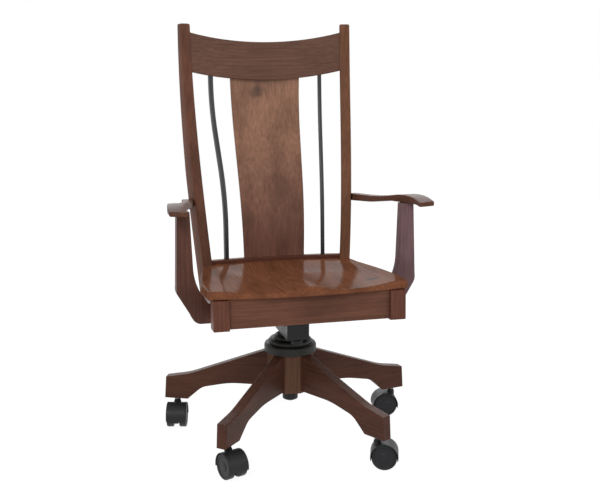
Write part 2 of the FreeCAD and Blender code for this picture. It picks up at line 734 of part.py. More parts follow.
def make_back_post(name, side):
    """Post lofted through level sections, with an eased top."""
    low = val("post_low")
    lofted = [rounded_box_wire(side * post_x(z), post_y(z) + val("back_deep") / 2, z,
                               val("back_wide"), val("back_deep"), val("back_ease"))
              for z in stations(low, BACK_TOP - 6, 10)]
    shaft = Part.makeLoft(lofted, True, False)
    neck_z = BACK_TOP - 6
    centre_y = post_y(neck_z) + val("back_deep") / 2
    tip = [rounded_box_wire(side * post_x(neck_z), centre_y, neck_z, val("back_wide"), val("back_deep"),
                            val("back_ease")),
           rounded_box_wire(side * post_x(neck_z), centre_y, neck_z + 3.5, val("back_wide") - 2,
                            val("back_deep") - 2, val("back_ease")),
           rounded_box_wire(side * post_x(neck_z), centre_y, neck_z + 6, val("back_wide") - 8,
                            val("back_deep") - 8, val("back_ease"))]
    cap = Part.makeLoft(tip, True, True)
    keep(solid_feature(name, shaft.fuse(cap)), name, SEAT_FRAME)


def bowed_board(name, low, high, front_y, bow, thick, half, lean=0.0):
    """Board bent in plan: its front face is an arc through (+-half, front_y)."""
    body = new_body(name)
    sketch = new_sketch(body, name + "_plan", "XY_Plane", low)
    draw(sketch, [flat(-half, front_y), (flat(0, front_y + bow), flat(half, front_y)),
                  flat(half, front_y + thick), (flat(0, front_y + bow + thick), flat(-half, front_y + thick))])
    feature = pad(body, sketch, str(high - low), both=False, name=name + "_pad")
    feature.UseCustomVector = True
    feature.Direction = Vector(0, math.sin(math.radians(lean)), math.cos(math.radians(lean)))
    feature.AlongSketchNormal = True
    return body


def slat_outline(face_y, thick, low, high, count=9):
    """Side view of a bent slat: two smooth curves a board's thickness apart."""
    levels = stations(low, high, count)
    front = [flat(face_y(z), z) for z in levels]
    back = [flat(face_y(z) + thick, z) for z in reversed(levels)]
    return [front[0], front[1:], back[0], back[1:]]


def crest_edge(x, level, sag):
    """Height of an edge of the crest that dips by sag at the centre."""
    half = post_inner(level)
    return level - sag * (1 - (x / half) ** 2)


CREST_SET = 2.0
CREST_LEAN = 5.2
CREST_FACE = post_y(CREST_LOW) + CREST_SET
RAIL_FACE = post_y(SEAT_TOP) + CREST_SET


def splat_half(z):
    """Half width of the splat: narrow above the seat, easing out to the crest."""
    rise = min(max((z - RAIL_TOP - 40) / (CREST_LOW - RAIL_TOP - 40), 0.0), 1.0)
    ease = rise * rise * (3 - 2 * rise)
    return val("splat_foot") + (val("splat_top") - val("splat_foot")) * (0.45 * rise + 0.55 * ease)


def splat_body(name, extra=0.0):
    """Bent splat; extra makes the cutter for its mortises."""
    low = RAIL_TOP - val("tenon")
    high = crest_edge(0, CREST_LOW, val("crest_sag")) + val("tenon")
    body = new_body(name)
    side = new_sketch(body, name + "_side", "YZ_Plane")
    draw(side, slat_outline(lambda z: splat_y(z) - extra, val("splat_thick") + 2 * extra, low - extra,
                            high + extra))
    pad(body, side, "2 * dims.splat_top + 20", name=name + "_pad")
    waste = new_sketch(body, name + "_waste", "XZ_Plane")
    levels = stations(low - 5, high + 5, 9)
    far = val("splat_top") + 20
    for sign in (-1, 1):
        edge = [flat(sign * (splat_half(z) + extra), z) for z in levels]
        draw(waste, [flat(sign * far, levels[0]), edge[0], edge[1:], flat(sign * far, levels[-1])])
    pocket(body, waste, name + "_cut")
    return body


def bar_shape(side, extra=0.0):
    """Square bent steel bar, turned to follow the bow of the back."""
    low = RAIL_TOP - val("tenon") - extra
    top_x = val("bar_x_top")
    foot_x = val("bar_x_foot")
    high = crest_edge(top_x, CREST_LOW, val("crest_sag")) + val("tenon") + extra
    sections = []
    for z in stations(low, high, 12):
        share = (z - low) / (high - low)
        x = foot_x + (top_x - foot_x) * share
        y = bar_y(z) + val("bar_deep") / 2
        sections.append(rounded_box_wire(side * x, y, z, val("bar_wide") + 2 * extra,
                                         val("bar_deep") + 2 * extra, 2.0, side * 9.0))
    return Part.makeLoft(sections, True, False)


def make_back():
    for name, side in (("back_post_left", -1), ("back_post_right", 1)):
        make_back_post(name, side)
    mid = (CREST_LOW + val("crest_high") / 2)
    cutters = [splat_body("splat_cutter", GAP)]
    cutters += [solid_feature("bar_cutter_%d" % i, bar_shape(side, GAP)) for i, side in enumerate((-1, 1))]
    half = post_inner(mid)
    low = CREST_LOW - val("crest_sag") - 20
    high = CREST_LOW + val("crest_high") + 20
    face = post_y(mid) + CREST_SET - (mid - low) * math.tan(math.radians(CREST_LEAN))
    board = bowed_board("crest_board", low, high, face, val("crest_bow"), val("crest_thick"), half, CREST_LEAN)
    waste = new_sketch(board, "crest_waste", "XZ_Plane")
    top = CREST_LOW + val("crest_high")
    in_low = post_inner(CREST_LOW) - GAP
    in_top = post_inner(top) - GAP
    sag = val("crest_sag")
    far = half + 40
    draw(waste, [flat(-far, low - 5), flat(far, low - 5), flat(far, CREST_LOW), flat(in_low, CREST_LOW),
                 (flat(0, CREST_LOW - sag), flat(-in_low, CREST_LOW)), flat(-far, CREST_LOW)])
    draw(waste, [flat(-far, high + 5), flat(far, high + 5), flat(far, top), flat(in_top, top),
                 (flat(0, top - sag - 1.5), flat(-in_top, top)), flat(-far, top)])
    pocket(board, waste, "crest_cut")
    ends = new_sketch(board, "crest_ends", "XZ_Plane")
    for sign in (-1, 1):
        draw(ends, [flat(sign * in_low, CREST_LOW - 1), flat(sign * in_top, top + 1),
                    flat(sign * far, top + 1), flat(sign * far, CREST_LOW - 1)])
    pocket(board, ends, "crest_end_cut")
    keep(cut("crest", board, cutters), "crest_rail", SEAT_FRAME)
    rail = bowed_board("rail_board", val("seat_low"), RAIL_TOP, RAIL_FACE, val("rail_bow"), val("rail_thick"),
                       post_inner(val("seat_low")) - GAP)
    keep(cut("rail", rail, cutters), "back_rail", SEAT_FRAME)
    keep(splat_body("splat_board"), "back_splat", SEAT_FRAME)
    for name, side in (("back_bar_left", -1), ("back_bar_right", 1)):
        keep(solid_feature(name, bar_shape(side)), name, SEAT_FRAME)


make_back()


# Seat frame: aprons, corner posts, bearers, blocks, and the saddled seat.

APRON_HIGH = "dims.seat_low - dims.apron_low"
POST_IN = val("post_out") - val("post_size")
POST_REAR = -val("post_front") + val("post_size")
APRON_FACE = val("post_front") - val("apron_inset")
SIDE_OUT = val("post_out") - val("apron_inset")
SIDE_REAR_OUT = post_outer(val("apron_low")) - 4
REAR_FRONT = post_y(val("apron_low")) + 8
BACK_FRONT = post_y(val("seat_low"))


def board(name, outline, low, rule):
    """Board cut to a plan outline and padded up from its lower face."""
    body = new_body(name)
    draw(new_sketch(body, name + "_plan", "XY_Plane", low), outline)
    pad(body, body.Group[-1], rule, both=False, name=name + "_pad")
    return body


def side_outline(side, thick, shift_out=0.0):
    """Plan of a side apron, from the corner post back to the back post."""
    y0 = POST_REAR
    y1 = BACK_FRONT
    return [flat(side * (SIDE_OUT + shift_out), y0), flat(side * (SIDE_REAR_OUT + shift_out), y1),
            flat(side * (SIDE_REAR_OUT - thick), y1), flat(side * (SIDE_OUT - thick), y0)]


def bolt_heights():
    return [val("support_low") + 20, val("support_low") + 42]


def side_bolt(name, side, z, radius, start, stop):
    y = val("support_y") + val("support_deep") / 2
    length = str(stop - start)
    return cylinder(name, radius, length, Vector(side * start, y, z), X_AXIS * side)


def make_aprons():
    front = board("front_apron_board", [flat(-POST_IN, -APRON_FACE), flat(POST_IN, -APRON_FACE),
                                        flat(POST_IN, -APRON_FACE + val("apron_thick")),
                                        flat(-POST_IN, -APRON_FACE + val("apron_thick"))],
                  val("apron_low"), APRON_HIGH)
    keep(front, "front_apron", SEAT_FRAME)
    body = new_body("rear_apron_board")
    sketch = new_sketch(body, "rear_apron_face", "XZ_Plane", -REAR_FRONT - val("apron_thick"))
    low_half = post_inner(val("apron_low")) - GAP
    top_half = post_inner(val("seat_low")) - GAP
    draw(sketch, [flat(-low_half, val("apron_low")), flat(low_half, val("apron_low")),
                  flat(top_half, val("seat_low")), flat(-top_half, val("seat_low"))])
    pad(body, sketch, "dims.apron_thick", both=False, name="rear_apron_pad")
    keep(body, "rear_apron", SEAT_FRAME)
    for name, side in (("side_apron_left", -1), ("side_apron_right", 1)):
        blank = board(name + "_board", side_outline(side, val("apron_thick")), val("apron_low"), APRON_HIGH)
        end = new_sketch(blank, name + "_end", "YZ_Plane")
        low = val("apron_low") - 5
        high = val("seat_low") + 5
        draw(end, [flat(post_y(low) - GAP, low), flat(BACK_FRONT + 20, low), flat(BACK_FRONT + 20, high),
                   flat(post_y(high) - GAP, high)])
        pocket(blank, end, name + "_end_cut")
        holes = [side_bolt("%s_hole_%d" % (name, i), side, z, "3 + dims.fit", 190, 250)
                 for i, z in enumerate(bolt_heights())]
        keep(cut(name, blank, holes), name, SEAT_FRAME)
    for name, side in (("front_post_left", -1), ("front_post_right", 1)):
        body = new_body(name + "_block")
        sketch = new_sketch(body, name + "_section", "XY_Plane", val("post_low"))
        xs = (side * POST_IN, side * val("post_out"))
        draw(sketch, [flat(xs[0], -val("post_front")), flat(xs[1], -val("post_front")),
                      flat(xs[1], POST_REAR), flat(xs[0], POST_REAR)])
        pad(body, sketch, "dims.seat_low - dims.post_low", both=False, name=name + "_pad")
        ease_edges(body, "2.5", lambda e: e.CenterOfMass.y < POST_REAR - 1 and
                   (abs(abs(e.CenterOfMass.x) - val("post_out")) < 0.1 or e.CenterOfMass.y < -val("post_front") + 0.1)
                   and e.CenterOfMass.z < val("seat_low") - 0.1, name + "_ease")
        keep(body, name, SEAT_FRAME)


def seat_screw_places():
    x = val("bearer_x")
    return [(-x, -150.0), (x, -150.0), (-x, 120.0), (x, 120.0)]


def make_bearers():
    y0 = -APRON_FACE + val("apron_thick")
    y1 = REAR_FRONT
    under = val("plate_low") + val("plate_thick")
    for name, side in (("seat_bearer_left", -1), ("seat_bearer_right", 1)):
        xs = [side * val("bearer_x") - val("bearer_wide") / 2, side * val("bearer_x") + val("bearer_wide") / 2]
        blank = board(name + "_board", [flat(xs[0], y0), flat(xs[1], y0), flat(xs[1], y1), flat(xs[0], y1)],
                      under, "dims.seat_low - dims.plate_low - dims.plate_thick")
        holes = [cylinder("%s_bolt_%d" % (name, i), "4 + dims.fit", "40", Vector(x, y, under - 5))
                 for i, (x, y) in enumerate(plate_bolt_places()) if x * side > 0]
        for i, (x, y) in enumerate(seat_screw_places()):
            if x * side > 0:
                holes.append(cylinder("%s_screw_%d" % (name, i), "2.5 + dims.fit", "100", Vector(x, y, under - 5)))
                holes.append(cylinder("%s_sink_%d" % (name, i), "5.5", "30", Vector(x, y, under - 5)))
        keep(cut(name, blank, holes), name, SEAT_FRAME)
    members = []
    for i, (x, y) in enumerate(seat_screw_places()):
        shank = cylinder("screw_shank_%d" % i, "2.5", "dims.seat_low + 12 - %s" % (under + 25),
                         Vector(x, y, under + 25))
        head = cylinder("screw_head_%d" % i, "5", "3", Vector(x, y, under + 22))
        members.append(fuse("screw_%d" % i, [shank, head]))
    keep(group("screws", members), "seat_screws", SEAT_FRAME)


def make_corner_blocks():
    """Glued blocks across the inner corners of the apron frame."""
    leg = 46.0
    high = "dims.seat_low - dims.apron_low - 12"
    low = val("apron_low") + 12
    members = []
    for i, side in enumerate((-1, 1)):
        x = side * (POST_IN - GAP)
        y = -APRON_FACE + val("apron_thick")
        members.append(board("block_front_%d" % i, [flat(x, y), flat(x, y + 18), flat(x - side * leg, y)],
                             low, high))
        xr = side * (post_inner(val("apron_low")) - GAP - 1)
        yr = REAR_FRONT
        members.append(board("block_rear_%d" % i, [flat(xr, yr), flat(xr - side * 30, yr), flat(xr, yr - 14)],
                             low, high))
    keep(group("blocks", members), "corner_blocks", SEAT_FRAME)


def seat_outline():
    half = val("seat_half")
    rear = val("seat_back_half")
    front = -val("seat_front")
    bow = val("seat_bow")
    back = BACK_FRONT - GAP
    notch = post_inner(val("seat_low")) - 2 * GAP
    corner = 12.0
    mid = [flat(half - 1.5, -110), flat(0.5 * (half + rear) + 4, 10), flat(rear, back)]
    mid_left = [flat(-p.x, p.y) for p in reversed(mid)]
    rail_y = RAIL_FACE - GAP
    return [flat(-half + corner, front - 2), (flat(0, front - bow), flat(half - corner, front - 2)),
            (flat(half - 2.5, front + 3), flat(half, front + corner)), mid, flat(notch, back),
            flat(notch, rail_y), (flat(0, rail_y + val("rail_bow")), flat(-notch, rail_y)),
            flat(-notch, back), mid_left[0], mid_left[1:] + [flat(-half, front + corner)],
            (flat(-half + 2.5, front + 3), flat(-half + corner, front - 2))]


def scoop(x, y):
    """Depth of the saddle below the seat's flat: two hollows with a ridge between."""
    front = -val("seat_front") - val("seat_bow")
    reach = BACK_FRONT - front
    along = (y - front) / reach
    if along < 0.62:
        rise = 0.36 + 0.64 * math.sin(math.radians(90 * max(along, 0) / 0.62))
    else:
        rise = math.cos(math.radians(90 * min((along - 0.62) / 0.36, 1.0)))
    edge = val("seat_half") - 62 - 26 * max(along, 0)
    reach_x = min(abs(x) / edge, 1.0)
    bowl = math.cos(math.radians(90 * reach_x)) ** 0.8
    ridge = math.exp(-(x / 52.0) ** 2) * max(0.0, 1 - along / 0.7)
    return val("scoop_deep") * rise * bowl * (1 - ridge)


def make_seat():
    """Solid wood seat: sawn outline, two carved hollows and a rounded rim."""
    blank = board("seat_board", seat_outline(), val("seat_low"), "dims.seat_thick")
    front = -val("seat_front") - val("seat_bow") - 10
    rear = BACK_FRONT + val("rail_bow") + 12
    far = val("seat_half") + 20
    sky = SEAT_TOP + 30
    sections = []
    for y in stations(front, rear, 8):
        floor = [Vector(x, y, SEAT_TOP - scoop(x, y) + (0.6 if scoop(x, y) < 0.05 else 0.0))
                 for x in stations(-far, far, 17)]
        curve = Part.BSplineCurve()
        curve.interpolate(floor)
        edges = [curve.toShape()]
        ring = [floor[-1], Vector(far, y, sky), Vector(-far, y, sky), floor[0]]
        edges += [Part.LineSegment(a, b).toShape() for a, b in zip(ring, ring[1:])]
        sections.append(Part.Wire(edges))
    carver = solid_feature("seat_carver", Part.makeLoft(sections, True, False))
    pilots = [cylinder("seat_pilot_%d" % i, "2.5 + dims.fit", "18", Vector(x, y, val("seat_low") - 5))
              for i, (x, y) in enumerate(seat_screw_places())]
    keep(cut("seat", blank, [carver] + pilots), "seat", SEAT_FRAME)


make_aprons()
make_bearers()
make_corner_blocks()
make_seat()


# Arms: bracket supports bolted to the side aprons, and shaped armrests.

SUPPORT_IN = val("support_out") - val("support_wide")


def make_support(name, side):
    """Board support: upright above, sweeping in under the seat to its foot."""
    out = val("support_out")
    low = val("support_low")
    top = val("arm_seat")
    inside = SIDE_REAR_OUT - 10
    body = new_body(name + "_board")
    sketch = new_sketch(body, name + "_face", "XZ_Plane", -val("support_y") - val("support_deep"))
    outline = [flat(inside, low), flat(out - 56, low), (flat(out - 44, low + 5), flat(out - 34, low + 20)),
               flat(out - 3, low + 72), (flat(out + 2.5, low + 84), flat(out + 3, low + 98)),
               flat(out - 2, top), flat(SUPPORT_IN - 1, top), flat(SUPPORT_IN - 7, low + 150),
               (flat(SUPPORT_IN - 11, low + 118), flat(SUPPORT_IN - 22, low + 87)),
               flat(inside + 24, low + 28)]
    draw(sketch, [flat(side * p.x, p.y) if isinstance(p, Vector) else tuple(flat(side * q.x, q.y) for q in p)
                  for p in outline])
    pad(body, sketch, "dims.support_deep", both=False, name=name + "_pad")
    return body


def arm_side_outline():
    """Side view of an armrest, rear to front: it rises, levels, and droops at the tip."""
    seat = val("arm_seat")
    thick = val("arm_thick")
    tip = -val("arm_tip")
    y0 = val("support_y")
    y1 = y0 + val("support_deep")
    rear = ARM_REAR
    top = [flat(rear, seat - 3), flat(145, seat + 0.5), flat(52, seat + 5), flat(-20, seat + 13),
           flat(y1 - 20, seat + thick), flat(-118, seat + thick + 1), flat(-158, seat + thick - 4)]
    return [flat(rear, seat - 24), top[0], top[1:] + [flat(tip, seat + 9.5)], flat(tip, seat - 1.5),
            [flat(tip + 26, seat + 1.0), flat(y0 - 12, seat)], flat(y1 + 2, seat),
            [flat(0, seat - 4.5), flat(52, seat - 12), flat(145, seat - 19), flat(rear, seat - 24)]]


ARM_REAR = post_y(val("arm_seat")) + val("back_deep")
ARM_IN = post_outer(val("arm_seat")) + GAP + 0.4
ARM_TIP_IN = val("arm_tip_out") - val("arm_tip_wide")


def arm_plan_outline():
    """Plan of the right armrest: slim at the post, wide and rounded at the tip."""
    tip = -val("arm_tip")
    outer = val("arm_tip_out")
    post_face = post_y(val("arm_seat"))
    return [flat(ARM_IN, ARM_REAR + 5), flat(ARM_IN, post_face - 4),
            [flat(ARM_IN + 14, 90), flat(ARM_IN + 38, -30), flat(ARM_TIP_IN - 4, -120), flat(ARM_TIP_IN, tip + 6)],
            (flat(ARM_TIP_IN + 2, tip + 1), flat(ARM_TIP_IN + 7, tip - 0.5)),
            flat(outer - 8, tip + 7), (flat(outer - 2, tip + 9), flat(outer, tip + 15)),
            [flat(outer - 4, -110), flat(outer - 26, -10), flat(ARM_IN + 40, 110), flat(ARM_IN + 28, post_face),
             flat(ARM_IN + 26, ARM_REAR + 5)]]


def mirrored(outline, side):
    result = []
    for step in outline:
        if isinstance(step, tuple):
            result.append(tuple(flat(side * p.x, p.y) for p in step))
        elif isinstance(step, list):
            result.append([flat(side * p.x, p.y) for p in step])
        else:
            result.append(flat(side * step.x, step.y))
    return result


def make_arm(name, side):
    body = new_body(name + "_side_block")
    sketch = new_sketch(body, name + "_side", "YZ_Plane")
    draw(sketch, arm_side_outline())
    pad(body, sketch, "2 * dims.arm_tip_out + 40", name=name + "_side_pad")
    plan = new_body(name + "_plan_block")
    sketch = new_sketch(plan, name + "_plan", "XY_Plane", val("arm_seat") - 60)
    draw(sketch, mirrored(arm_plan_outline(), side))
    pad(plan, sketch, "120", both=False, name=name + "_plan_pad")
    arm = doc.addObject("Part::Common", name + "_common")
    arm.Base = body
    arm.Tool = plan
    keep(arm, name, SEAT_FRAME)


def make_arms():
    bolts = []
    for label, side in (("left", -1), ("right", 1)):
        name = "arm_support_" + label
        blank = make_support(name, side)
        waste = board(name + "_waste", side_outline(side, 80, GAP), val("apron_low") - 60, "160")
        holes = [side_bolt("%s_hole_%d" % (name, i), side, z, "3 + dims.fit", 190, 262)
                 for i, z in enumerate(bolt_heights())]
        keep(cut(name, blank, [waste] + holes), name, SEAT_FRAME)
        make_arm("armrest_" + label, side)
        inner = SIDE_OUT - (SIDE_OUT - SIDE_REAR_OUT) * 0.36 - val("apron_thick") - 2
        for i, z in enumerate(bolt_heights()):
            shank = side_bolt("%s_bolt_%d" % (name, i), side, z, "3", inner - 2, 260)
            head = side_bolt("%s_bolt_head_%d" % (name, i), side, z, "6", inner - 5, inner - 2)
            bolts.append(fuse("%s_fastener_%d" % (name, i), [shank, head]))
    keep(group("arm_fasteners", bolts), "arm_bolts", SEAT_FRAME)


make_arms()


# Casters: five twin-wheel casters.  Each is drawn with its stem on Z, its axle
# along Y and its wheels trailing towards +X.

CASTER_HEADINGS = [200.0, -104.7, -69.7, -20.0, 170.0]
WHEEL_R = val("wheel_dia") / 2
AXLE_AT = Vector(val("caster_trail"), 0, WHEEL_R)
HOOD_R = WHEEL_R + val("hood_gap") + val("hood_wall")
HOOD_WIDE = 2 * val("wheel_wide") + val("wheel_space") + 2
HOOD_TOP = val("leg_low") - 10


def caster_place(index):
    angle = math.radians(LEG_TURNS[index])
    stem = Vector(SOCKET_REACH * math.cos(angle), SOCKET_REACH * math.sin(angle), 0)
    return Placement(stem, Rotation(Z_AXIS, CASTER_HEADINGS[index]))


def make_caster(index):
    number = index + 1
    place = caster_place(index)
    inner = WHEEL_R + val("hood_gap")
    half = HOOD_WIDE / 2
    shell = Part.makeCylinder(HOOD_R, HOOD_WIDE, AXLE_AT - Y_AXIS * half, Y_AXIS)
    rims = [e for e in shell.Edges if isinstance(e.Curve, Part.Circle)]
    shell = shell.makeFillet(val("hood_wall") * 0.8, rims)
    boss = Part.makeCylinder(10, HOOD_TOP - WHEEL_R, Vector(0, 0, WHEEL_R))
    hollow = Part.makeCylinder(inner, HOOD_WIDE + 2, AXLE_AT - Y_AXIS * (half + 1), Y_AXIS)
    below = Part.makeBox(200, 200, 100, Vector(-100, -100, 0.78 * WHEEL_R - 100))
    shell = shell.fuse(boss).cut(hollow).cut(below)
    web_half = val("wheel_space") / 2 - 1
    web = Part.makeCylinder(inner + 0.5, 2 * web_half, AXLE_AT - Y_AXIS * web_half, Y_AXIS)
    web = web.cut(Part.makeBox(200, 200, 100, Vector(-100, -100, 0.55 * WHEEL_R - 100)))
    pin_len = 2 * val("wheel_wide") + val("wheel_space") - 8
    pin = Part.makeCylinder(val("pin_dia") / 2, pin_len, AXLE_AT - Y_AXIS * (pin_len / 2), Y_AXIS)
    collar_top = val("leg_low") - SOCKET_RIM - GAP
    collar = Part.makeCylinder(8, collar_top - HOOD_TOP + 2, Vector(0, 0, HOOD_TOP - 2))
    stem = Part.makeCylinder(val("stem_dia") / 2, SOCKET_DEEP + 8, Vector(0, 0, HOOD_TOP))
    shape = shell.fuse([web, pin, collar, stem]).removeSplitter()
    keep(solid_feature("caster_%d" % number, shape), "caster_body_%d" % number, place)
    for label, side in (("a", -1), ("b", 1)):
        make_wheel("caster_wheel_%d%s" % (number, label), place, side)


def make_wheel(label, place, side):
    """Wheel turned about its own axle: tread, dished face, hub and blind bore."""
    wide = val("wheel_wide")
    bore = val("pin_dia") / 2 + FIT
    body = new_body(label + "_body")
    sketch = new_sketch(body, label + "_profile", "XZ_Plane")
    draw(sketch, [flat(bore, 0), flat(WHEEL_R - 3, 0), (flat(WHEEL_R - 0.9, 0.9), flat(WHEEL_R, 3)),
                  flat(WHEEL_R, wide - 3), (flat(WHEEL_R - 0.9, wide - 0.9), flat(WHEEL_R - 3, wide)),
                  flat(WHEEL_R - 5, wide), flat(WHEEL_R - 7, wide - 2), flat(13, wide - 2), flat(11, wide - 0.5),
                  flat(0, wide), flat(0, wide - 3), flat(bore, wide - 3)])
    turn = body.newObject("PartDesign::Revolution", label + "_turn")
    turn.Profile = sketch
    turn.ReferenceAxis = (sketch, ["V_Axis"])
    turn.Angle = 360
    body.Tip = turn
    inner_face = val("wheel_space") / 2
    facing = Rotation(Z_AXIS, Y_AXIS * side)
    local = Placement(AXLE_AT + Y_AXIS * (side * inner_face), facing)
    keep(body, label, place.multiply(local))


for caster_index in range(5):
    make_caster(caster_index)


# Check everything, then write one file for each piece.

doc.recompute()
for obj in doc.Objects:
    if "Invalid" in obj.State or "Error" in obj.State:
        raise RuntimeError("%s (%s) is %s" % (obj.Name, obj.Label, obj.State))
os.makedirs("parts", exist_ok=True)
for obj in parts:
    shape = obj.Shape
    if shape.isNull() or not shape.isValid():
        raise RuntimeError("%s has no valid shape" % obj.Label)
for obj in parts:
    obj.Shape.exportStep("parts/%s.step" % obj.Label)
    print("%-22s solids %2d  volume %10.0f" % (obj.Label, len(obj.Shape.Solids), obj.Shape.Volume))
print("%d pieces" % len(parts))
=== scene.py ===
# %% [markdown]
# # A bankers swivel chair
# A solid wood office chair: a saddled seat, a bent splat between two thin steel bars,
# open arms, and a five-leg wooden base on twin-wheel casters. The base, the casters and the
# mechanism come from the CAD frame and keep their shape. This file gives them wood, steel
# and plastic, and makes anew the boards and bars of the seat, arms and back, whose curves and
# edges are softer than the CAD solids show.

# %% Load the CAD frame
import bmesh
import bpy
import math
from mathutils import Matrix, Vector


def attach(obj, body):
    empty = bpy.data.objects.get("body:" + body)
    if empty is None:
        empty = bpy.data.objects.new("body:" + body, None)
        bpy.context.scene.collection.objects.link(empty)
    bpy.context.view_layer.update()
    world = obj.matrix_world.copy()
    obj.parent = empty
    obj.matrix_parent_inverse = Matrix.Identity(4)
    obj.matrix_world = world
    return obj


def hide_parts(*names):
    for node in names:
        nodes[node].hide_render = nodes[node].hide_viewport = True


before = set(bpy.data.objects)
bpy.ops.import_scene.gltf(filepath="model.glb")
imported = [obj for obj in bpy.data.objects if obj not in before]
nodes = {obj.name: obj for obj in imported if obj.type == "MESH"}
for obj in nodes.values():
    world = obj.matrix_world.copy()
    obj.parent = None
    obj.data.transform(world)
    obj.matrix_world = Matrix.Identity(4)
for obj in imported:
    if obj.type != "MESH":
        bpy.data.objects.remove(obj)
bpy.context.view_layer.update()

# %% [markdown]
# ## The camera
# The photograph was taken from a little above the arms with a short telephoto lens. Its
# place was worked out by fitting a pinhole camera to the chair's corners. The picture was
# cropped above its middle, which a small vertical shift repeats.

# %% Camera
IMAGE_WIDE = 600
FOCAL_PIXELS, CROP_PIXELS = 1011.71, 33.586
SENSOR_WIDE = 36.0
camera_data = bpy.data.cameras.new("camera")
camera = bpy.data.objects.new("camera", camera_data)
bpy.context.scene.collection.objects.link(camera)
bpy.context.scene.camera = camera
camera.location = (-0.65122, -2.58699, 1.07616)
right = Vector((0.96738055, -0.25332125, 0.00179623))
up = Vector((0.04224699, 0.16831554, 0.98482743))
back = Vector((-0.24978005, -0.95262701, 0.17352724))
camera.rotation_euler = Matrix((right, up, back)).transposed().to_euler()
camera_data.sensor_width = SENSOR_WIDE
camera_data.lens = SENSOR_WIDE * FOCAL_PIXELS / IMAGE_WIDE
camera_data.shift_y = -CROP_PIXELS / IMAGE_WIDE
camera_data.clip_start = 0.1
camera_data.clip_end = 60.0
print("lens %.1f mm, shift %.3f" % (camera_data.lens, camera_data.shift_y))

# %% [markdown]
# ## Floor and light
# The photograph is a cut-out on white. The floor is one wide pale sheet. It and the world
# show white to the camera while they light the chair like plain paper, and the floor keeps
# a share of its own light, which is what the chair's shadow shows in. Three large soft lamps
# stand in for studio boxes: one over the front left, a weak one on the right, and one high
# behind.


# %% Floor, world and lamps
def math_node(tree, operation, a, b=None, clamp=False):
    """A Math node whose inputs are sockets or plain numbers; gives its output."""
    made = tree.nodes.new("ShaderNodeMath")
    made.operation = operation
    made.use_clamp = clamp
    for index, value in enumerate((a, b)):
        if value is None:
            continue
        if isinstance(value, (int, float)):
            made.inputs[index].default_value = value
        else:
            tree.links.new(value, made.inputs[index])
    return made.outputs[0]


def plainly_seen(tree, lit, share, strength=1.0):
    """Shows white light in place of a lit surface to camera, glossy and glass rays."""
    path = tree.nodes.new("ShaderNodeLightPath")
    seen = path.outputs["Is Camera Ray"]
    for name in ("Is Glossy Ray", "Is Transmission Ray"):
        seen = math_node(tree, "MAXIMUM", seen, path.outputs[name])
    white = tree.nodes.new("ShaderNodeEmission")
    white.inputs["Strength"].default_value = strength
    mix = tree.nodes.new("ShaderNodeMixShader")
    tree.links.new(math_node(tree, "MULTIPLY", seen, share), mix.inputs[0])
    tree.links.new(lit, mix.inputs[1])
    tree.links.new(white.outputs[0], mix.inputs[2])
    return mix.outputs[0]


bpy.context.scene.view_settings.view_transform = "Standard"
SKY_TINT, SKY_LIGHT = (0.93, 0.96, 1.0, 1), 0.42
world = bpy.data.worlds.new("studio")
world.use_nodes = True
bpy.context.scene.world = world
sky = world.node_tree
sky.nodes["Background"].inputs["Color"].default_value = SKY_TINT
sky.nodes["Background"].inputs["Strength"].default_value = SKY_LIGHT
sky.links.new(plainly_seen(sky, sky.nodes["Background"].outputs[0], 1.0),
              sky.nodes["World Output"].inputs["Surface"])

FLOOR_HALF = 9.0
PAPER_TONE, PAPER_WHITE, PAPER_GLOW = (0.86, 0.86, 0.86, 1), 0.8, 1.16
floor_mesh = bpy.data.meshes.new("floor")
floor_mesh.from_pydata([(x * FLOOR_HALF, y * FLOOR_HALF, 0) for x, y in ((-1, -1), (1, -1), (1, 1), (-1, 1))],
                       [], [(0, 1, 2, 3)])
floor = bpy.data.objects.new("floor", floor_mesh)
bpy.context.scene.collection.objects.link(floor)
paper = bpy.data.materials.new("paper_floor")
paper.use_nodes = True
paper_tree = paper.node_tree
sheet = paper_tree.nodes["Principled BSDF"]
sheet.inputs["Base Color"].default_value = PAPER_TONE
sheet.inputs["Roughness"].default_value = 0.9
paper_tree.links.new(plainly_seen(paper_tree, sheet.outputs[0], PAPER_WHITE, PAPER_GLOW),
                     paper_tree.nodes["Material Output"].inputs["Surface"])
floor_mesh.materials.append(paper)


def softbox(name, place, aim, size, watts, tint=(1, 1, 1)):
    """Area lamp turned towards a point."""
    lamp = bpy.data.lights.new(name, "AREA")
    lamp.shape = "RECTANGLE"
    lamp.size, lamp.size_y = size
    lamp.energy = watts
    lamp.color = tint
    holder = bpy.data.objects.new(name, lamp)
    holder.location = place
    holder.rotation_euler = (Vector(aim) - Vector(place)).to_track_quat("-Z", "Y").to_euler()
    bpy.context.scene.collection.objects.link(holder)


softbox("key", place=(-1.9, -2.6, 2.6), aim=(0, 0, 0.6), size=(1.8, 1.8), watts=42)
softbox("fill", place=(2.6, -1.8, 1.6), aim=(0, 0, 0.6), size=(1.6, 1.6), watts=12)
softbox("window", place=(0.6, 3.0, 2.0), aim=(0, 0, 0.5), size=(3.4, 2.0), watts=42, tint=(0.93, 0.97, 1.0))
print("three soft lamps over a paper floor")

# %% [markdown]
# ## Wood
# The chair is stained hardwood under satin lacquer. Wood shows four things at once: slow
# rings that run along the board, paler streaks and fine pores stretched the same way, and
# blotches where the stain soaked in unevenly. One node group makes all four from a board's
# own coordinates, with X along the grain. Each board's material turns the coordinates to
# suit its length.


# %% The grain group
def socket(tree, name, kind, way="INPUT", value=None):
    """Adds an input or output to a node group."""
    made = tree.interface.new_socket(name, in_out=way, socket_type="NodeSocket" + kind)
    if value is not None:
        made.default_value = value


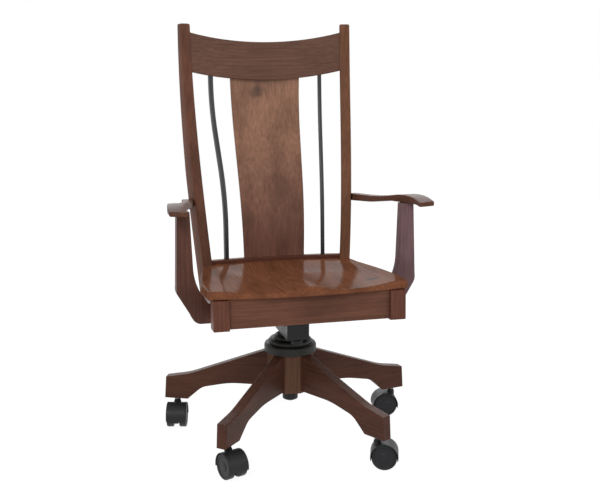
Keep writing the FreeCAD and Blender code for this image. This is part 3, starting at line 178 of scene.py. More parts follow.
def blend_colors(tree, factor, a, b, kind="MIX"):
    """Mixes two colours; each is a socket or a plain colour."""
    made = tree.nodes.new("ShaderNodeMix")
    made.data_type = "RGBA"
    made.blend_type = kind
    for index, value in ((0, factor), (6, a), (7, b)):
        if hasattr(value, "is_linked"):
            tree.links.new(value, made.inputs[index])
        else:
            made.inputs[index].default_value = value
    return made.outputs[2]


def spread(tree, value, low, high, out_low=0.0, out_high=1.0):
    """Stretches a range of values over another, clamped."""
    made = tree.nodes.new("ShaderNodeMapRange")
    tree.links.new(value, made.inputs[0])
    for index, number in enumerate((low, high, out_low, out_high), start=1):
        made.inputs[index].default_value = number
    return made.outputs[0]


def stretched_noise(tree, vector, stretch, scale, detail=3.0, rough=0.5):
    """Noise drawn out along X; stretch is how many times longer it is that way."""
    mapping = tree.nodes.new("ShaderNodeVectorMath")
    mapping.operation = "MULTIPLY"
    tree.links.new(vector, mapping.inputs[0])
    mapping.inputs[1].default_value = (scale / stretch, scale, scale)
    noise = tree.nodes.new("ShaderNodeTexNoise")
    noise.inputs["Scale"].default_value = 1.0
    noise.inputs["Detail"].default_value = detail
    noise.inputs["Roughness"].default_value = rough
    tree.links.new(mapping.outputs[0], noise.inputs["Vector"])
    return noise.outputs["Fac"]


RING_DRIFT, RING_WARP = 0.11, 0.003


def make_grain_group():
    """Rings, pores, streaks and blotches along X; drift and warp bend the rings, in metres."""
    tree = bpy.data.node_groups.new("wood_grain", "ShaderNodeTree")
    socket(tree, "Vector", "Vector")
    socket(tree, "Dark", "Color", value=(0.03, 0.012, 0.008, 1))
    socket(tree, "Middle", "Color", value=(0.13, 0.06, 0.04, 1))
    socket(tree, "Light", "Color", value=(0.2, 0.1, 0.06, 1))
    socket(tree, "Rings", "Float", value=60.0)
    socket(tree, "Ring depth", "Float", value=0.5)
    socket(tree, "Blotches", "Float", value=0.5)
    socket(tree, "Color", "Color", "OUTPUT")
    socket(tree, "Roughness", "Float", "OUTPUT")
    socket(tree, "Height", "Float", "OUTPUT")
    inside = tree.nodes.new("NodeGroupInput")
    vector = inside.outputs["Vector"]
    drift = stretched_noise(tree, vector, stretch=7.0, scale=9.0, detail=2.0)
    warp = stretched_noise(tree, vector, stretch=5.0, scale=38.0, detail=2.0)
    parts = tree.nodes.new("ShaderNodeSeparateXYZ")
    tree.links.new(vector, parts.inputs[0])
    across = math_node(tree, "ADD", parts.outputs["Y"], math_node(tree, "MULTIPLY", drift, RING_DRIFT))
    depth = math_node(tree, "ADD", parts.outputs["Z"], math_node(tree, "MULTIPLY", warp, RING_WARP))
    radius = math_node(tree, "SQRT", math_node(tree, "ADD", math_node(tree, "POWER", across, 2.0),
                                              math_node(tree, "POWER", depth, 2.0)))
    turns = math_node(tree, "MULTIPLY", radius, inside.outputs["Rings"])
    ring = math_node(tree, "FRACT", turns)
    late = spread(tree, ring, 0.55, 1.0)
    late = math_node(tree, "MULTIPLY", math_node(tree, "POWER", late, 1.8), inside.outputs["Ring depth"])
    pores = stretched_noise(tree, vector, stretch=30.0, scale=1500.0, detail=2.0)
    pores = spread(tree, pores, 0.56, 0.72)
    streaks = stretched_noise(tree, vector, stretch=26.0, scale=190.0, detail=4.0, rough=0.6)
    streaks = spread(tree, streaks, 0.34, 0.68)
    blotch = stretched_noise(tree, vector, stretch=2.2, scale=14.0, detail=3.0)
    blotch = math_node(tree, "MULTIPLY", spread(tree, blotch, 0.42, 0.66), inside.outputs["Blotches"])
    tone = blend_colors(tree, streaks, inside.outputs["Middle"], inside.outputs["Light"])
    tone = blend_colors(tree, late, tone, inside.outputs["Dark"])
    tone = blend_colors(tree, math_node(tree, "MULTIPLY", blotch, 0.75), tone, inside.outputs["Dark"])
    tone = blend_colors(tree, math_node(tree, "MULTIPLY", pores, 0.35), tone, inside.outputs["Dark"])
    rough = math_node(tree, "ADD", 0.38, math_node(tree, "MULTIPLY", streaks, 0.08))
    height = math_node(tree, "SUBTRACT", math_node(tree, "MULTIPLY", late, -0.4),
                       math_node(tree, "MULTIPLY", pores, 0.8))
    outside = tree.nodes.new("NodeGroupOutput")
    tree.links.new(tone, outside.inputs["Color"])
    tree.links.new(rough, outside.inputs["Roughness"])
    tree.links.new(height, outside.inputs["Height"])
    return tree


grain_group = make_grain_group()
print("grain group with", len(grain_group.nodes), "nodes")

# %% [markdown]
# ## Colours of the boards
# A colour measured on a picture is in the screen's scale, and shaders want linear light,
# so a small helper converts. The boards differ: the splat is paler and darker towards the
# bottom, the legs are darkest, and the seat has the most lacquer and one knot. The right arm
# support is paler and greyer than the left, which is painted light. A dark spot, given by its
# middle and its reach, makes the seat's knot, a small dark spot on the splat, and the painted
# shade that the crest casts on the splat.


# %% One material per board
def linear(red, green, blue):
    """Screen colour, 0 to 255, as linear light."""
    def one(value):
        value /= 255.0
        return value / 12.92 if value <= 0.04045 else ((value + 0.055) / 1.055) ** 2.4
    return (one(red), one(green), one(blue), 1.0)


MM = 0.001
GRAIN_ALONG = {"x": (0, 0, 0), "y": (0, 0, math.radians(-90)), "z": (0, math.radians(90), 0)}


FRAY = 0.9


def dark_spot(tree, vector, middle, reach):
    """1 at a point in millimetres, falling to 0 at its reach; the edge is frayed by noise."""
    offset = tree.nodes.new("ShaderNodeVectorMath")
    offset.operation = "SUBTRACT"
    tree.links.new(vector, offset.inputs[0])
    offset.inputs[1].default_value = [c * MM for c in middle]
    squash = tree.nodes.new("ShaderNodeVectorMath")
    squash.operation = "DIVIDE"
    tree.links.new(offset.outputs[0], squash.inputs[0])
    squash.inputs[1].default_value = [c * MM for c in reach]
    length = tree.nodes.new("ShaderNodeVectorMath")
    length.operation = "LENGTH"
    tree.links.new(squash.outputs[0], length.inputs[0])
    fray = tree.nodes.new("ShaderNodeTexNoise")
    fray.inputs["Scale"].default_value = 60.0
    fray.inputs["Detail"].default_value = 4.0
    tree.links.new(vector, fray.inputs["Vector"])
    torn = math_node(tree, "MULTIPLY", math_node(tree, "SUBTRACT", fray.outputs["Fac"], 0.5), FRAY)
    far = math_node(tree, "ADD", length.outputs["Value"], torn)
    return spread(tree, far, 1.0, 0.35)


STREAK_LIGHT, PORE_DARK = 1.5, 0.4
RINGS_PER_METRE = 90.0
# The dark colour of knots and marks, and of the painted shade under the crest.
MARK_AND_SHADE_COLOR = (0.055, 0.045, 0.04, 1.0)


def wood(name, along, middle, place, turn=None, ring_depth=0.2, blotches=0.55, coat=0.04,
         shine=0.12, spots=(), fade=None):
    """Stained wood with its grain along one axis, turned about Z by turn degrees.

    middle is the stained wood's colour as a screen colour, and place slides the pattern, so
    that no two boards match. A spot is (middle, reach, strength) and darkens the board there,
    for a real mark and also for painted shade. fade is (low, high, tint): the height, in
    millimetres, below and above which the tint is full and gone.
    """
    made = bpy.data.materials.new(name)
    made.use_nodes = True
    tree = made.node_tree
    shader = tree.nodes["Principled BSDF"]
    spot = tree.nodes.new("ShaderNodeTexCoord")
    lay = tree.nodes.new("ShaderNodeMapping")
    lay.vector_type = "POINT"
    lay.inputs["Location"].default_value = place
    angles = list(GRAIN_ALONG[along])
    if turn is not None:
        angles[2] -= math.radians(turn)
    lay.inputs["Rotation"].default_value = angles
    tree.links.new(spot.outputs["Object"], lay.inputs["Vector"])
    grain = tree.nodes.new("ShaderNodeGroup")
    grain.node_tree = grain_group
    tree.links.new(lay.outputs["Vector"], grain.inputs["Vector"])
    tone = linear(*middle)
    grain.inputs["Middle"].default_value = tone
    grain.inputs["Light"].default_value = [min(1.0, c * STREAK_LIGHT) for c in tone[:3]] + [1.0]
    grain.inputs["Dark"].default_value = [c * PORE_DARK for c in tone[:3]] + [1.0]
    grain.inputs["Rings"].default_value = RINGS_PER_METRE
    grain.inputs["Ring depth"].default_value = ring_depth
    grain.inputs["Blotches"].default_value = blotches
    color = grain.outputs["Color"]
    if fade:
        low, high, tint = fade
        parts = tree.nodes.new("ShaderNodeSeparateXYZ")
        tree.links.new(spot.outputs["Object"], parts.inputs[0])
        share = spread(tree, parts.outputs["Z"], low * MM, high * MM, 1.0, 0.0)
        color = blend_colors(tree, share, color, tint + (1.0,), "MULTIPLY")
    # Spots darken the colour: real marks such as the seat's knot, and the painted shade under the crest on
    # the splat.
    for centre, reach, strength in spots:
        mark_and_shade = dark_spot(tree, spot.outputs["Object"], centre, reach)
        color = blend_colors(tree, math_node(tree, "MULTIPLY", mark_and_shade, strength), color, MARK_AND_SHADE_COLOR)
    tree.links.new(color, shader.inputs["Base Color"])
    tree.links.new(grain.outputs["Roughness"], shader.inputs["Roughness"])
    bump = tree.nodes.new("ShaderNodeBump")
    bump.inputs["Strength"].default_value = 0.25
    bump.inputs["Distance"].default_value = 0.0003
    tree.links.new(grain.outputs["Height"], bump.inputs["Height"])
    tree.links.new(bump.outputs["Normal"], shader.inputs["Normal"])
    shader.inputs["Specular IOR Level"].default_value = shine
    shader.inputs["Coat Weight"].default_value = coat
    shader.inputs["Coat Roughness"].default_value = 0.17
    shader.inputs["Coat IOR"].default_value = 1.2
    return made


def dress(material, *names):
    """Gives CAD nodes one material."""
    for name in names:
        mesh = nodes[name].data
        mesh.materials.clear()
        mesh.materials.append(material)


LEG_COUNT, BASE_TURN = 5, -6.7
for number in range(1, LEG_COUNT + 1):
    angle = 90 + BASE_TURN + 360 / LEG_COUNT * (number - 1)
    dress(wood("wood_leg_%d" % number, "x", (84, 53, 41), (0.3 * number, 0.02, 0.1), turn=angle),
          "base_leg_%d" % number)
dress(wood("wood_hub", "z", (101, 70, 54), (0.2, 0.1, 0.0)), "base_hub")
POST_STAIN = {"left": (109, 69, 52), "right": (116, 75, 52)}
# The right support's paler, greyer colour is painted light; the left support keeps its plain stain.
SUPPORT_STAIN_AND_LIGHT = {"left": (98, 64, 54), "right": (117, 89, 91)}
board_wood = {}
for number, side in enumerate(("left", "right")):
    shift = 0.7 * number
    board_wood["back_post_" + side] = wood("wood_back_post_" + side, "z", POST_STAIN[side],
                                           (0.4 + shift, 0.03, 0.3))
    board_wood["side_apron_" + side] = wood("wood_side_apron_" + side, "y", (92, 56, 42), (shift, 0.02, 0.5))
    board_wood["arm_support_" + side] = wood("wood_arm_support_" + side, "z", SUPPORT_STAIN_AND_LIGHT[side],
                                             (shift, 0.05, 0.8))
    board_wood["armrest_" + side] = wood("wood_armrest_" + side, "y", (103, 69, 55), (shift, 0.12, 0.7),
                                         coat=0.12, shine=0.04)
    dress(wood("wood_front_post_" + side, "z", (102, 63, 49), (shift, 0.13, 0.2)), "front_post_" + side)
board_wood["crest_rail"] = wood("wood_crest", "x", (107, 76, 63), (0.2, 0.06, 1.0), blotches=0.25)
board_wood["back_rail"] = wood("wood_rail", "x", (98, 58, 44), (0.5, 0.02, 0.4))
# The splat's wide spot just under the crest is painted shade that the crest casts; the small one lower down
# is a dark spot on the board. The fade tints the splat darker towards the bottom.
board_wood["back_splat"] = wood("wood_splat", "z", (157, 115, 93), (0.6, 0.02, 0.15),
                                ring_depth=0.12, blotches=0.7,
                                spots=[((-25, 292, 922), (30, 60, 22), 0.55),
                                       ((0, 292, 965), (100, 90, 60), 0.35)],
                                fade=(520.0, 860.0, (0.54, 0.48, 0.52)))
board_wood["front_apron"] = wood("wood_front_apron", "x", (109, 71, 55), (0.9, 0.04, 0.31))
board_wood["rear_apron"] = wood("wood_rear_apron", "x", (100, 66, 54), (1.9, 0.04, 0.31))
board_wood["seat"] = wood("wood_seat", "y", (128, 80, 56), (0.2, 0.03, -0.3), coat=0.24, shine=0.0,
                          spots=[((184, -144, 459), (26, 15, 30), 0.85)])
pale_wood = wood("wood_blocks", "x", (150, 118, 84), (0.0, 0.1, 0.2), blotches=0.2, coat=0.0)
dress(pale_wood, "corner_blocks", "seat_bearer_left", "seat_bearer_right", "leg_dowels")
print(len(bpy.data.materials), "materials so far")

# %% [markdown]
# ## Plastic, painted steel and bright steel
# Black plastic is never flat: a moulded surface has a fine tooth that breaks up its sheen.
# Painted steel is smoother with a little orange peel. All use one small group that turns
# noise into colour, roughness and height.


# %% The tooth group and the plain finishes
def make_tooth_group():
    """A fine tooth for the height and a broad cloud of dust for colour and roughness."""
    tree = bpy.data.node_groups.new("surface_tooth", "ShaderNodeTree")
    socket(tree, "Vector", "Vector")
    socket(tree, "Scale", "Float", value=900.0)
    socket(tree, "Color A", "Color", value=(0.02, 0.02, 0.02, 1))
    socket(tree, "Color B", "Color", value=(0.03, 0.03, 0.03, 1))
    socket(tree, "Base roughness", "Float", value=0.4)
    socket(tree, "Color", "Color", "OUTPUT")
    socket(tree, "Roughness", "Float", "OUTPUT")
    socket(tree, "Height", "Float", "OUTPUT")
    inside = tree.nodes.new("NodeGroupInput")
    fine = tree.nodes.new("ShaderNodeTexNoise")
    fine.inputs["Detail"].default_value = 2.0
    tree.links.new(inside.outputs["Vector"], fine.inputs["Vector"])
    tree.links.new(inside.outputs["Scale"], fine.inputs["Scale"])
    broad = tree.nodes.new("ShaderNodeTexNoise")
    broad.inputs["Scale"].default_value = 22.0
    broad.inputs["Detail"].default_value = 4.0
    tree.links.new(inside.outputs["Vector"], broad.inputs["Vector"])
    dust = spread(tree, broad.outputs["Fac"], 0.4, 0.7)
    color = blend_colors(tree, dust, inside.outputs["Color A"], inside.outputs["Color B"])
    rough = math_node(tree, "ADD", inside.outputs["Base roughness"],
                      math_node(tree, "MULTIPLY", dust, 0.12), clamp=True)
    outside = tree.nodes.new("NodeGroupOutput")
    tree.links.new(color, outside.inputs["Color"])
    tree.links.new(rough, outside.inputs["Roughness"])
    tree.links.new(fine.outputs["Fac"], outside.inputs["Height"])
    return tree


tooth_group = make_tooth_group()
TOOTH_DEPTH = 0.00006


def toothed(name, color_a, color_b, roughness, scale=900.0, metal=0.0, shine=0.3):
    """Plastic, steel or rubber between two close screen colours; scale is the tooth's."""
    made = bpy.data.materials.new(name)
    made.use_nodes = True
    tree = made.node_tree
    shader = tree.nodes["Principled BSDF"]
    spot = tree.nodes.new("ShaderNodeTexCoord")
    tooth = tree.nodes.new("ShaderNodeGroup")
    tooth.node_tree = tooth_group
    tree.links.new(spot.outputs["Object"], tooth.inputs["Vector"])
    tooth.inputs["Scale"].default_value = scale
    tooth.inputs["Color A"].default_value = linear(*color_a)
    tooth.inputs["Color B"].default_value = linear(*color_b)
    tooth.inputs["Base roughness"].default_value = roughness
    tree.links.new(tooth.outputs["Color"], shader.inputs["Base Color"])
    tree.links.new(tooth.outputs["Roughness"], shader.inputs["Roughness"])
    bump = tree.nodes.new("ShaderNodeBump")
    bump.inputs["Strength"].default_value = 0.5
    bump.inputs["Distance"].default_value = TOOTH_DEPTH
    tree.links.new(tooth.outputs["Height"], bump.inputs["Height"])
    tree.links.new(bump.outputs["Normal"], shader.inputs["Normal"])
    shader.inputs["Metallic"].default_value = metal
    shader.inputs["Specular IOR Level"].default_value = shine
    return made


black_plastic = toothed("black_plastic", (30, 30, 31), (38, 38, 39), 0.42)
wheel_plastic = toothed("wheel_plastic", (27, 27, 30), (33, 33, 36), 0.38)
cover_plastic = toothed("cover_plastic", (33, 32, 30), (42, 40, 38), 0.4)
black_steel = toothed("black_steel", (28, 28, 29), (35, 35, 36), 0.35, scale=300.0)
bar_steel = toothed("bar_steel", (18, 19, 24), (21, 22, 28), 0.28, scale=260.0, shine=0.6)
bright_steel = toothed("bright_steel", (190, 190, 188), (170, 168, 164), 0.3, metal=1.0)
rubber = toothed("rubber", (38, 37, 36), (46, 45, 44), 0.75, scale=600.0)

for name in nodes:
    if name.startswith("caster_body"):
        dress(black_plastic, name)
    elif name.startswith("caster_wheel"):
        dress(wheel_plastic, name)
dress(cover_plastic, "hub_cover")
dress(black_plastic, "guide_bush", "tension_knob")
dress(black_steel, "column_tube", "tilt_housing", "seat_plate", "height_lever")
board_wood["back_bar_left"] = board_wood["back_bar_right"] = bar_steel
dress(bright_steel, "pressure_tube", "piston_rod", "thrust_bearing", "rod_clip", "tilt_axle",
      "caster_sockets", "plate_bolts", "seat_screws", "arm_bolts")
dress(rubber, "torsion_sleeve")
print("plain finishes on", sum(1 for n in nodes if nodes[n].data.materials), "nodes")

# %% [markdown]
# ## Tools for making a piece
# The boards below are drawn upright in millimetres, in the frame that the seat and back
# share, and the whole frame leans back by two and a half degrees at rest. A board that
# changes section along its length is a loft: rings of points, one after another, joined by
# a skin. A bent edge is written as a list of heights and leans, and the line between two of
# them turns evenly.


# %% Rings, skins and lean
PIVOT = Vector((0.0, -62.0, 336.0))
REST_DEGREES = 2.5
REST_LEAN = Matrix.Rotation(math.radians(-REST_DEGREES), 3, "X")


def leaned(point):
    """An upright point of the seat frame, in millimetres, in its leaned place in metres."""
    return (REST_LEAN @ (Vector(point) - PIVOT) + PIVOT) * MM


def rounded_section(wide, deep, ease, steps=5, cuts=1):
    """Rectangle round the origin with rounded corners; cuts divides its long sides."""
    section = []
    for sx, sy, start in ((1, 1, 0), (-1, 1, 90), (-1, -1, 180), (1, -1, 270)):
        for step in range(steps + 1):
            angle = math.radians(start + 90 * step / steps)
            section.append((sx * (wide / 2 - ease) + ease * math.cos(angle),
                            sy * (deep / 2 - ease) + ease * math.sin(angle)))
        if sx == sy:
            ahead = -sx * (wide / 2 - ease)
            here = section[-1]
            section += [(here[0] + (ahead - here[0]) * k / cuts, here[1]) for k in range(1, cuts)]
    return section


def finish_mesh(mesh, angle=35):
    """Turns the faces outward and shades them smooth up to an angle."""
    work = bmesh.new()
    work.from_mesh(mesh)
    bmesh.ops.recalc_face_normals(work, faces=work.faces)
    work.to_mesh(mesh)
    work.free()
    mesh.polygons.foreach_set("use_smooth", [True] * len(mesh.polygons))
    mesh.set_sharp_from_angle(angle=math.radians(angle))


def skin(name, rings, angle=35):
    """Joins rings of equal length into one closed piece, drawn upright in millimetres."""
    count = len(rings[0])
    faces = []
    for row in range(len(rings) - 1):
        for k in range(count):
            a = row * count + k
            b = row * count + (k + 1) % count
            faces.append((a, b, b + count, a + count))
    last = (len(rings) - 1) * count
    faces += [tuple(range(count)), tuple(range(last, last + count))]
    mesh = bpy.data.meshes.new(name)
    mesh.from_pydata([leaned(p) for ring in rings for p in ring], [], faces)
    finish_mesh(mesh, angle)
    piece = bpy.data.objects.new(name, mesh)
    bpy.context.scene.collection.objects.link(piece)
    return piece


def stand_for(piece, node):
    """Puts a finished piece in a CAD node's place, in its finish."""
    piece.data.materials.clear()
    piece.data.materials.append(board_wood[node])
    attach(piece, "seat_frame")
    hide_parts(node)


def stations(low, high, count):
    """Even steps from low to high, both ends included."""
    return [low + (high - low) * i / (count - 1) for i in range(count)]


def lean_curve(start_y, start_z, marks):
    """Y at each height; marks are (height, lean in degrees), and the lean turns evenly."""
    def at(z):
        y, here, lean = start_y, start_z, marks[0][1]
        if z < marks[0][0]:
            return start_y + (z - start_z) * math.tan(math.radians(lean))
        for height, next_lean in marks:
            stop = min(z, height)
            if height > here:
                mid = lean + (next_lean - lean) * (stop - here) / (height - here) / 2
                y += (stop - here) * math.tan(math.radians(mid))
            if z <= height:
                return y
            here, lean = height, next_lean
        return y + (z - here) * math.tan(math.radians(lean))
    return at


print("one frame leaned by", REST_DEGREES, "degrees")

# %% [markdown]
# ## The back posts
# Each post is sawn from a thick board along a double curve. Seen from the side it leans
# back more and more, then straightens at the top. Seen from the front the posts spread. They
# also stand turned by nineteen degrees, so that the bowed rails meet them squarely, and they
# get slimmer above the arms. Four short rules give the middle of the front face, the
# depth, and the two front corners that everything else is fitted to.

# %% Back posts
RAIL_TOP, BACK_TOP, CREST_LOW = 469.5, 1130.5, 996.8
SEAT_LOW, SEAT_TOP = 435.8, 458.3
POST_RISE = BACK_TOP - RAIL_TOP
SLAT_RISE = CREST_LOW - RAIL_TOP
POST_WIDE, POST_DEEP, POST_SLIM = 29.3, 45.0, 24.8
POST_LOW, POST_EASE, SLIM_FROM = 359.0, 4.0, 0.375
POST_FOOT_X, POST_FOOT_Y = 199.9, 144.6
SPREAD_FOOT, SPREAD_TOP = math.tan(math.radians(4.9)), math.tan(math.radians(0.6))
TURN = math.radians(19.0)


def part_way(share, rise):
    """Height at a share of a rise above the lower rail."""
    return RAIL_TOP + share * rise


post_y = lean_curve(POST_FOOT_Y, RAIL_TOP, [(RAIL_TOP, 7.5), (part_way(0.304, POST_RISE), 10.8),
                                            (part_way(0.607, POST_RISE), 10.3), (BACK_TOP, 2.5)])


def post_x(z):
    """Middle of a post's front face: it spreads less and less upward."""
    rise = z - RAIL_TOP
    bend = (SPREAD_TOP - SPREAD_FOOT) * rise * rise / (2 * POST_RISE) if rise > 0 else 0.0
    return POST_FOOT_X + SPREAD_FOOT * rise + bend


def post_deep(z):
    """Depth from front to back, which thins steadily above the arms."""
    share = min(max((z - RAIL_TOP) / POST_RISE - SLIM_FROM, 0.0) / (1 - SLIM_FROM), 1.0)
    return POST_DEEP + (POST_SLIM - POST_DEEP) * share


def post_corner(z, outward):
    """A front corner of the right post; outward is 1 for the outer one, -1 for the inner."""
    across = outward * POST_WIDE / 2
    return post_x(z) + across * math.cos(TURN), post_y(z) - across * math.sin(TURN)


def post_ring(side, z, shrink=0.0):
    """Section of a post at a height, drawn in all round by shrink."""
    deep = post_deep(z)
    ring = []
    for across, along in rounded_section(POST_WIDE - 2 * shrink, deep - 2 * shrink, POST_EASE):
        along += deep / 2
        ring.append((side * (post_x(z) + across * math.cos(TURN) + along * math.sin(TURN)),
                     post_y(z) - across * math.sin(TURN) + along * math.cos(TURN), z))
    return ring


TOP_ROLL = ((3.2, 0.35), (1.6, 1.2), (0.5, 2.6), (0.0, 4.2))
for name, side in (("back_post_left", -1), ("back_post_right", 1)):
    rings = [post_ring(side, z) for z in stations(POST_LOW, BACK_TOP - 5.0, 44)]
    for drop, shrink in TOP_ROLL:
        rings.append([(x, y, BACK_TOP - drop) for x, y, z in post_ring(side, BACK_TOP - drop, shrink)])
    stand_for(skin(name + "_shaped", rings), name)
print("posts spread from %.0f to %.0f mm" % (2 * post_x(SEAT_TOP), 2 * post_x(BACK_TOP)))

# %% [markdown]
# ## The rails between the posts
# The crest, the lower rail and the rear apron all end on the inner faces of the posts, so one
# function makes all three: it walks from post to post and stretches every section to the
# posts' faces. The crest is bowed in plan and leans back, and both its edges dip to the middle.


# %% Crest, lower rail and rear apron
END_SINK = 0.3


def spanning_board(name, low, high, face, thick, ease, columns=60):
    """Board from post to post; low, high and face give its edges and front face at x."""
    half = post_corner((low(0) + high(0)) / 2, -1)[0]
    rings = []
    for share in stations(-1.0, 1.0, columns + 1):
        x = share * half
        bottom, top = low(x), high(x)
        ring = []
        for across, along in rounded_section(top - bottom, thick, ease, cuts=6):
            z = (bottom + top) / 2 + across
            y = face(x, z) + thick / 2 + along
            corner_x, corner_y = post_corner(z, -1)
            ring.append((share * (corner_x + (y - corner_y) * math.tan(TURN) + END_SINK), y, z))
        rings.append(ring)
    return skin(name, rings)


def dip(x, half, depth):
    """Depth below the ends of an edge that sags to the middle."""
    return depth * (1 - (x / half) ** 2)


CREST_TALL, CREST_BOW, CREST_LEAN = 110.0, 25.0, math.tan(math.radians(5.2))
CREST_LOW_DIP, CREST_HIGH_DIP = 25.0, 26.5
CREST_MID = CREST_LOW + CREST_TALL / 2
CREST_HALF, CREST_FACE = post_corner(CREST_MID, -1)
RAIL_HALF, RAIL_FACE = post_corner(SEAT_TOP, -1)
RAIL_FACE += 6.0
RAIL_BOW, RAIL_THICK = 18.0, 22.0
APRON_LOW, APRON_THICK = 361.0, 20.0
stand_for(spanning_board("crest_rail_shaped",
                         lambda x: CREST_LOW - dip(x, CREST_HALF, CREST_LOW_DIP),
                         lambda x: CREST_LOW + CREST_TALL - dip(x, CREST_HALF, CREST_HIGH_DIP),
                         lambda x, z: CREST_FACE + 2.0 + dip(x, CREST_HALF, CREST_BOW) +
                         (z - CREST_MID) * CREST_LEAN, RAIL_THICK, 2.5),
          "crest_rail")
stand_for(spanning_board("back_rail_shaped", lambda x: SEAT_LOW, lambda x: RAIL_TOP,
                         lambda x, z: RAIL_FACE + dip(x, RAIL_HALF, RAIL_BOW), RAIL_THICK, 3.0),
          "back_rail")
apron_y = post_corner(SEAT_LOW, -1)[1] + 4.0
stand_for(spanning_board("rear_apron_shaped", lambda x: APRON_LOW, lambda x: SEAT_LOW - 0.3,
                         lambda x, z: apron_y, APRON_THICK, 1.5, columns=12),
          "rear_apron")
print("crest %.0f mm between the posts" % (2 * CREST_HALF))

# %% [markdown]
# ## The splat and the steel bars
# The splat is bent to the hollow of a sitter's back. It widens upward and is slightly
# hollow across. The bars bend with it, deeper than the posts, and sway outward as they
# rise because their plane is turned by twelve degrees.

# %% Splat
SPLAT_FOOT_Y, SPLAT_THICK, SPLAT_CUP = 177.6, 12.0, 4.0
SPLAT_HALF, SPLAT_FLARE = 88.0, 14.8
splat_y = lean_curve(SPLAT_FOOT_Y, RAIL_TOP, [(part_way(0.066, SLAT_RISE), 1.5),
                                              (part_way(0.408, SLAT_RISE), 16.75),
                                              (part_way(0.664, SLAT_RISE), 16.75),
                                              (part_way(0.977, SLAT_RISE), -1.0)])
rings = []
for z in stations(RAIL_TOP - 6.0, CREST_LOW - 16.0, 60):
    half = SPLAT_HALF + SPLAT_FLARE * (z - RAIL_TOP) / SLAT_RISE
    rings.append([(x, splat_y(z) + SPLAT_THICK / 2 + y + dip(x, half, SPLAT_CUP), z)
                  for x, y in rounded_section(2 * half, SPLAT_THICK, 3.2, cuts=14)])
stand_for(skin("back_splat_shaped", rings), "back_splat")
print("splat bent back by %.0f mm" % (splat_y(CREST_LOW) - splat_y(RAIL_TOP)))

# %% [markdown]
# ## Bars along a path
# A bar is one section carried along one line, which is what Curve to Mesh does in Geometry
# Nodes. The tree takes the line as bare edges, makes a curve of it, turns the section to
# suit the bow of the back, and gives the result its steel.


# %% A tree that carries a section along a line
def geometry_tree(name, numbers):
    """A node tree with a geometry and named sizes as inputs."""
    tree = bpy.data.node_groups.new(name, "GeometryNodeTree")
    socket(tree, "Geometry", "Geometry")
    for label, value in numbers:
        socket(tree, label, "Float", value=value)
    socket(tree, "Material", "Material")
    socket(tree, "Geometry", "Geometry", "OUTPUT")
    return tree, tree.nodes.new("NodeGroupInput"), tree.nodes.new("NodeGroupOutput")


def grow(piece, tree, values):
    """Runs a tree on a piece with these inputs, and keeps the result as a plain mesh."""
    maker = piece.modifiers.new(tree.name, "NODES")
    maker.node_group = tree
    for item in tree.interface.items_tree:
        if item.in_out == "INPUT" and item.name in values:
            maker[item.identifier] = values[item.name]
    ready = piece.evaluated_get(bpy.context.evaluated_depsgraph_get())
    mesh = bpy.data.meshes.new_from_object(ready)
    piece.modifiers.remove(maker)
    piece.data = mesh
    finish_mesh(mesh)
    return piece


BAR_SIZES = {"Width": 0.0115, "Depth": 0.0155, "Corner": 0.0028}


def make_bar_tree():
    """Carries an eased rectangle along a line of edges."""
    tree, sizes, result = geometry_tree("bar_along_line", [*BAR_SIZES.items(), ("Turn", 0.0)])
    line = tree.nodes.new("GeometryNodeMeshToCurve")
    tree.links.new(sizes.outputs["Geometry"], line.inputs["Mesh"])
    tilt = tree.nodes.new("GeometryNodeSetCurveTilt")
    tree.links.new(line.outputs[0], tilt.inputs["Curve"])
    tree.links.new(sizes.outputs["Turn"], tilt.inputs["Tilt"])
    section = tree.nodes.new("GeometryNodeCurvePrimitiveQuadrilateral")
    tree.links.new(sizes.outputs["Width"], section.inputs["Width"])
    tree.links.new(sizes.outputs["Depth"], section.inputs["Height"])
    eased = tree.nodes.new("GeometryNodeFilletCurve")
    eased.mode = "POLY"
    tree.links.new(section.outputs[0], eased.inputs["Curve"])
    eased.inputs["Count"].default_value = 5
    tree.links.new(sizes.outputs["Corner"], eased.inputs["Radius"])
    sweep = tree.nodes.new("GeometryNodeCurveToMesh")
    tree.links.new(tilt.outputs[0], sweep.inputs["Curve"])
    tree.links.new(eased.outputs[0], sweep.inputs["Profile Curve"])
    sweep.inputs["Fill Caps"].default_value = True
    real = tree.nodes.new("GeometryNodeRealizeInstances")
    tree.links.new(sweep.outputs[0], real.inputs[0])
    paint = tree.nodes.new("GeometryNodeSetMaterial")
    tree.links.new(real.outputs[0], paint.inputs["Geometry"])
    tree.links.new(sizes.outputs["Material"], paint.inputs["Material"])
    tree.links.new(paint.outputs[0], result.inputs["Geometry"])
    return tree


bar_tree = make_bar_tree()
BAR_FOOT_X, BAR_FOOT_Y, BAR_PLANE, BAR_TURN = 141.5, 171.75, math.tan(math.radians(12.0)), 13.0
bar_y = lean_curve(BAR_FOOT_Y, RAIL_TOP, [(part_way(0.156, SLAT_RISE), 0.0),
                                          (part_way(0.484, SLAT_RISE), 19.6),
                                          (part_way(0.668, SLAT_RISE), 19.6),
                                          (part_way(0.977, SLAT_RISE), -0.2)])
for name, side in (("back_bar_left", -1), ("back_bar_right", 1)):
    line = []
    for z in stations(RAIL_TOP - 8.0, CREST_LOW - 2.0, 64):
        x = BAR_FOOT_X + (bar_y(z) - bar_y(RAIL_TOP)) * BAR_PLANE
        line.append(leaned((side * x, bar_y(z), z)))
    mesh = bpy.data.meshes.new(name + "_line")
    mesh.from_pydata(line, [(k, k + 1) for k in range(len(line) - 1)], [])
    piece = bpy.data.objects.new(name + "_swept", mesh)
    bpy.context.scene.collection.objects.link(piece)
    grow(piece, bar_tree, {**BAR_SIZES, "Turn": math.radians(-BAR_TURN * side), "Material": bar_steel})
    stand_for(piece, name)
    print(name, [round(v, 4) for v in piece.dimensions], len(piece.data.polygons), "faces")

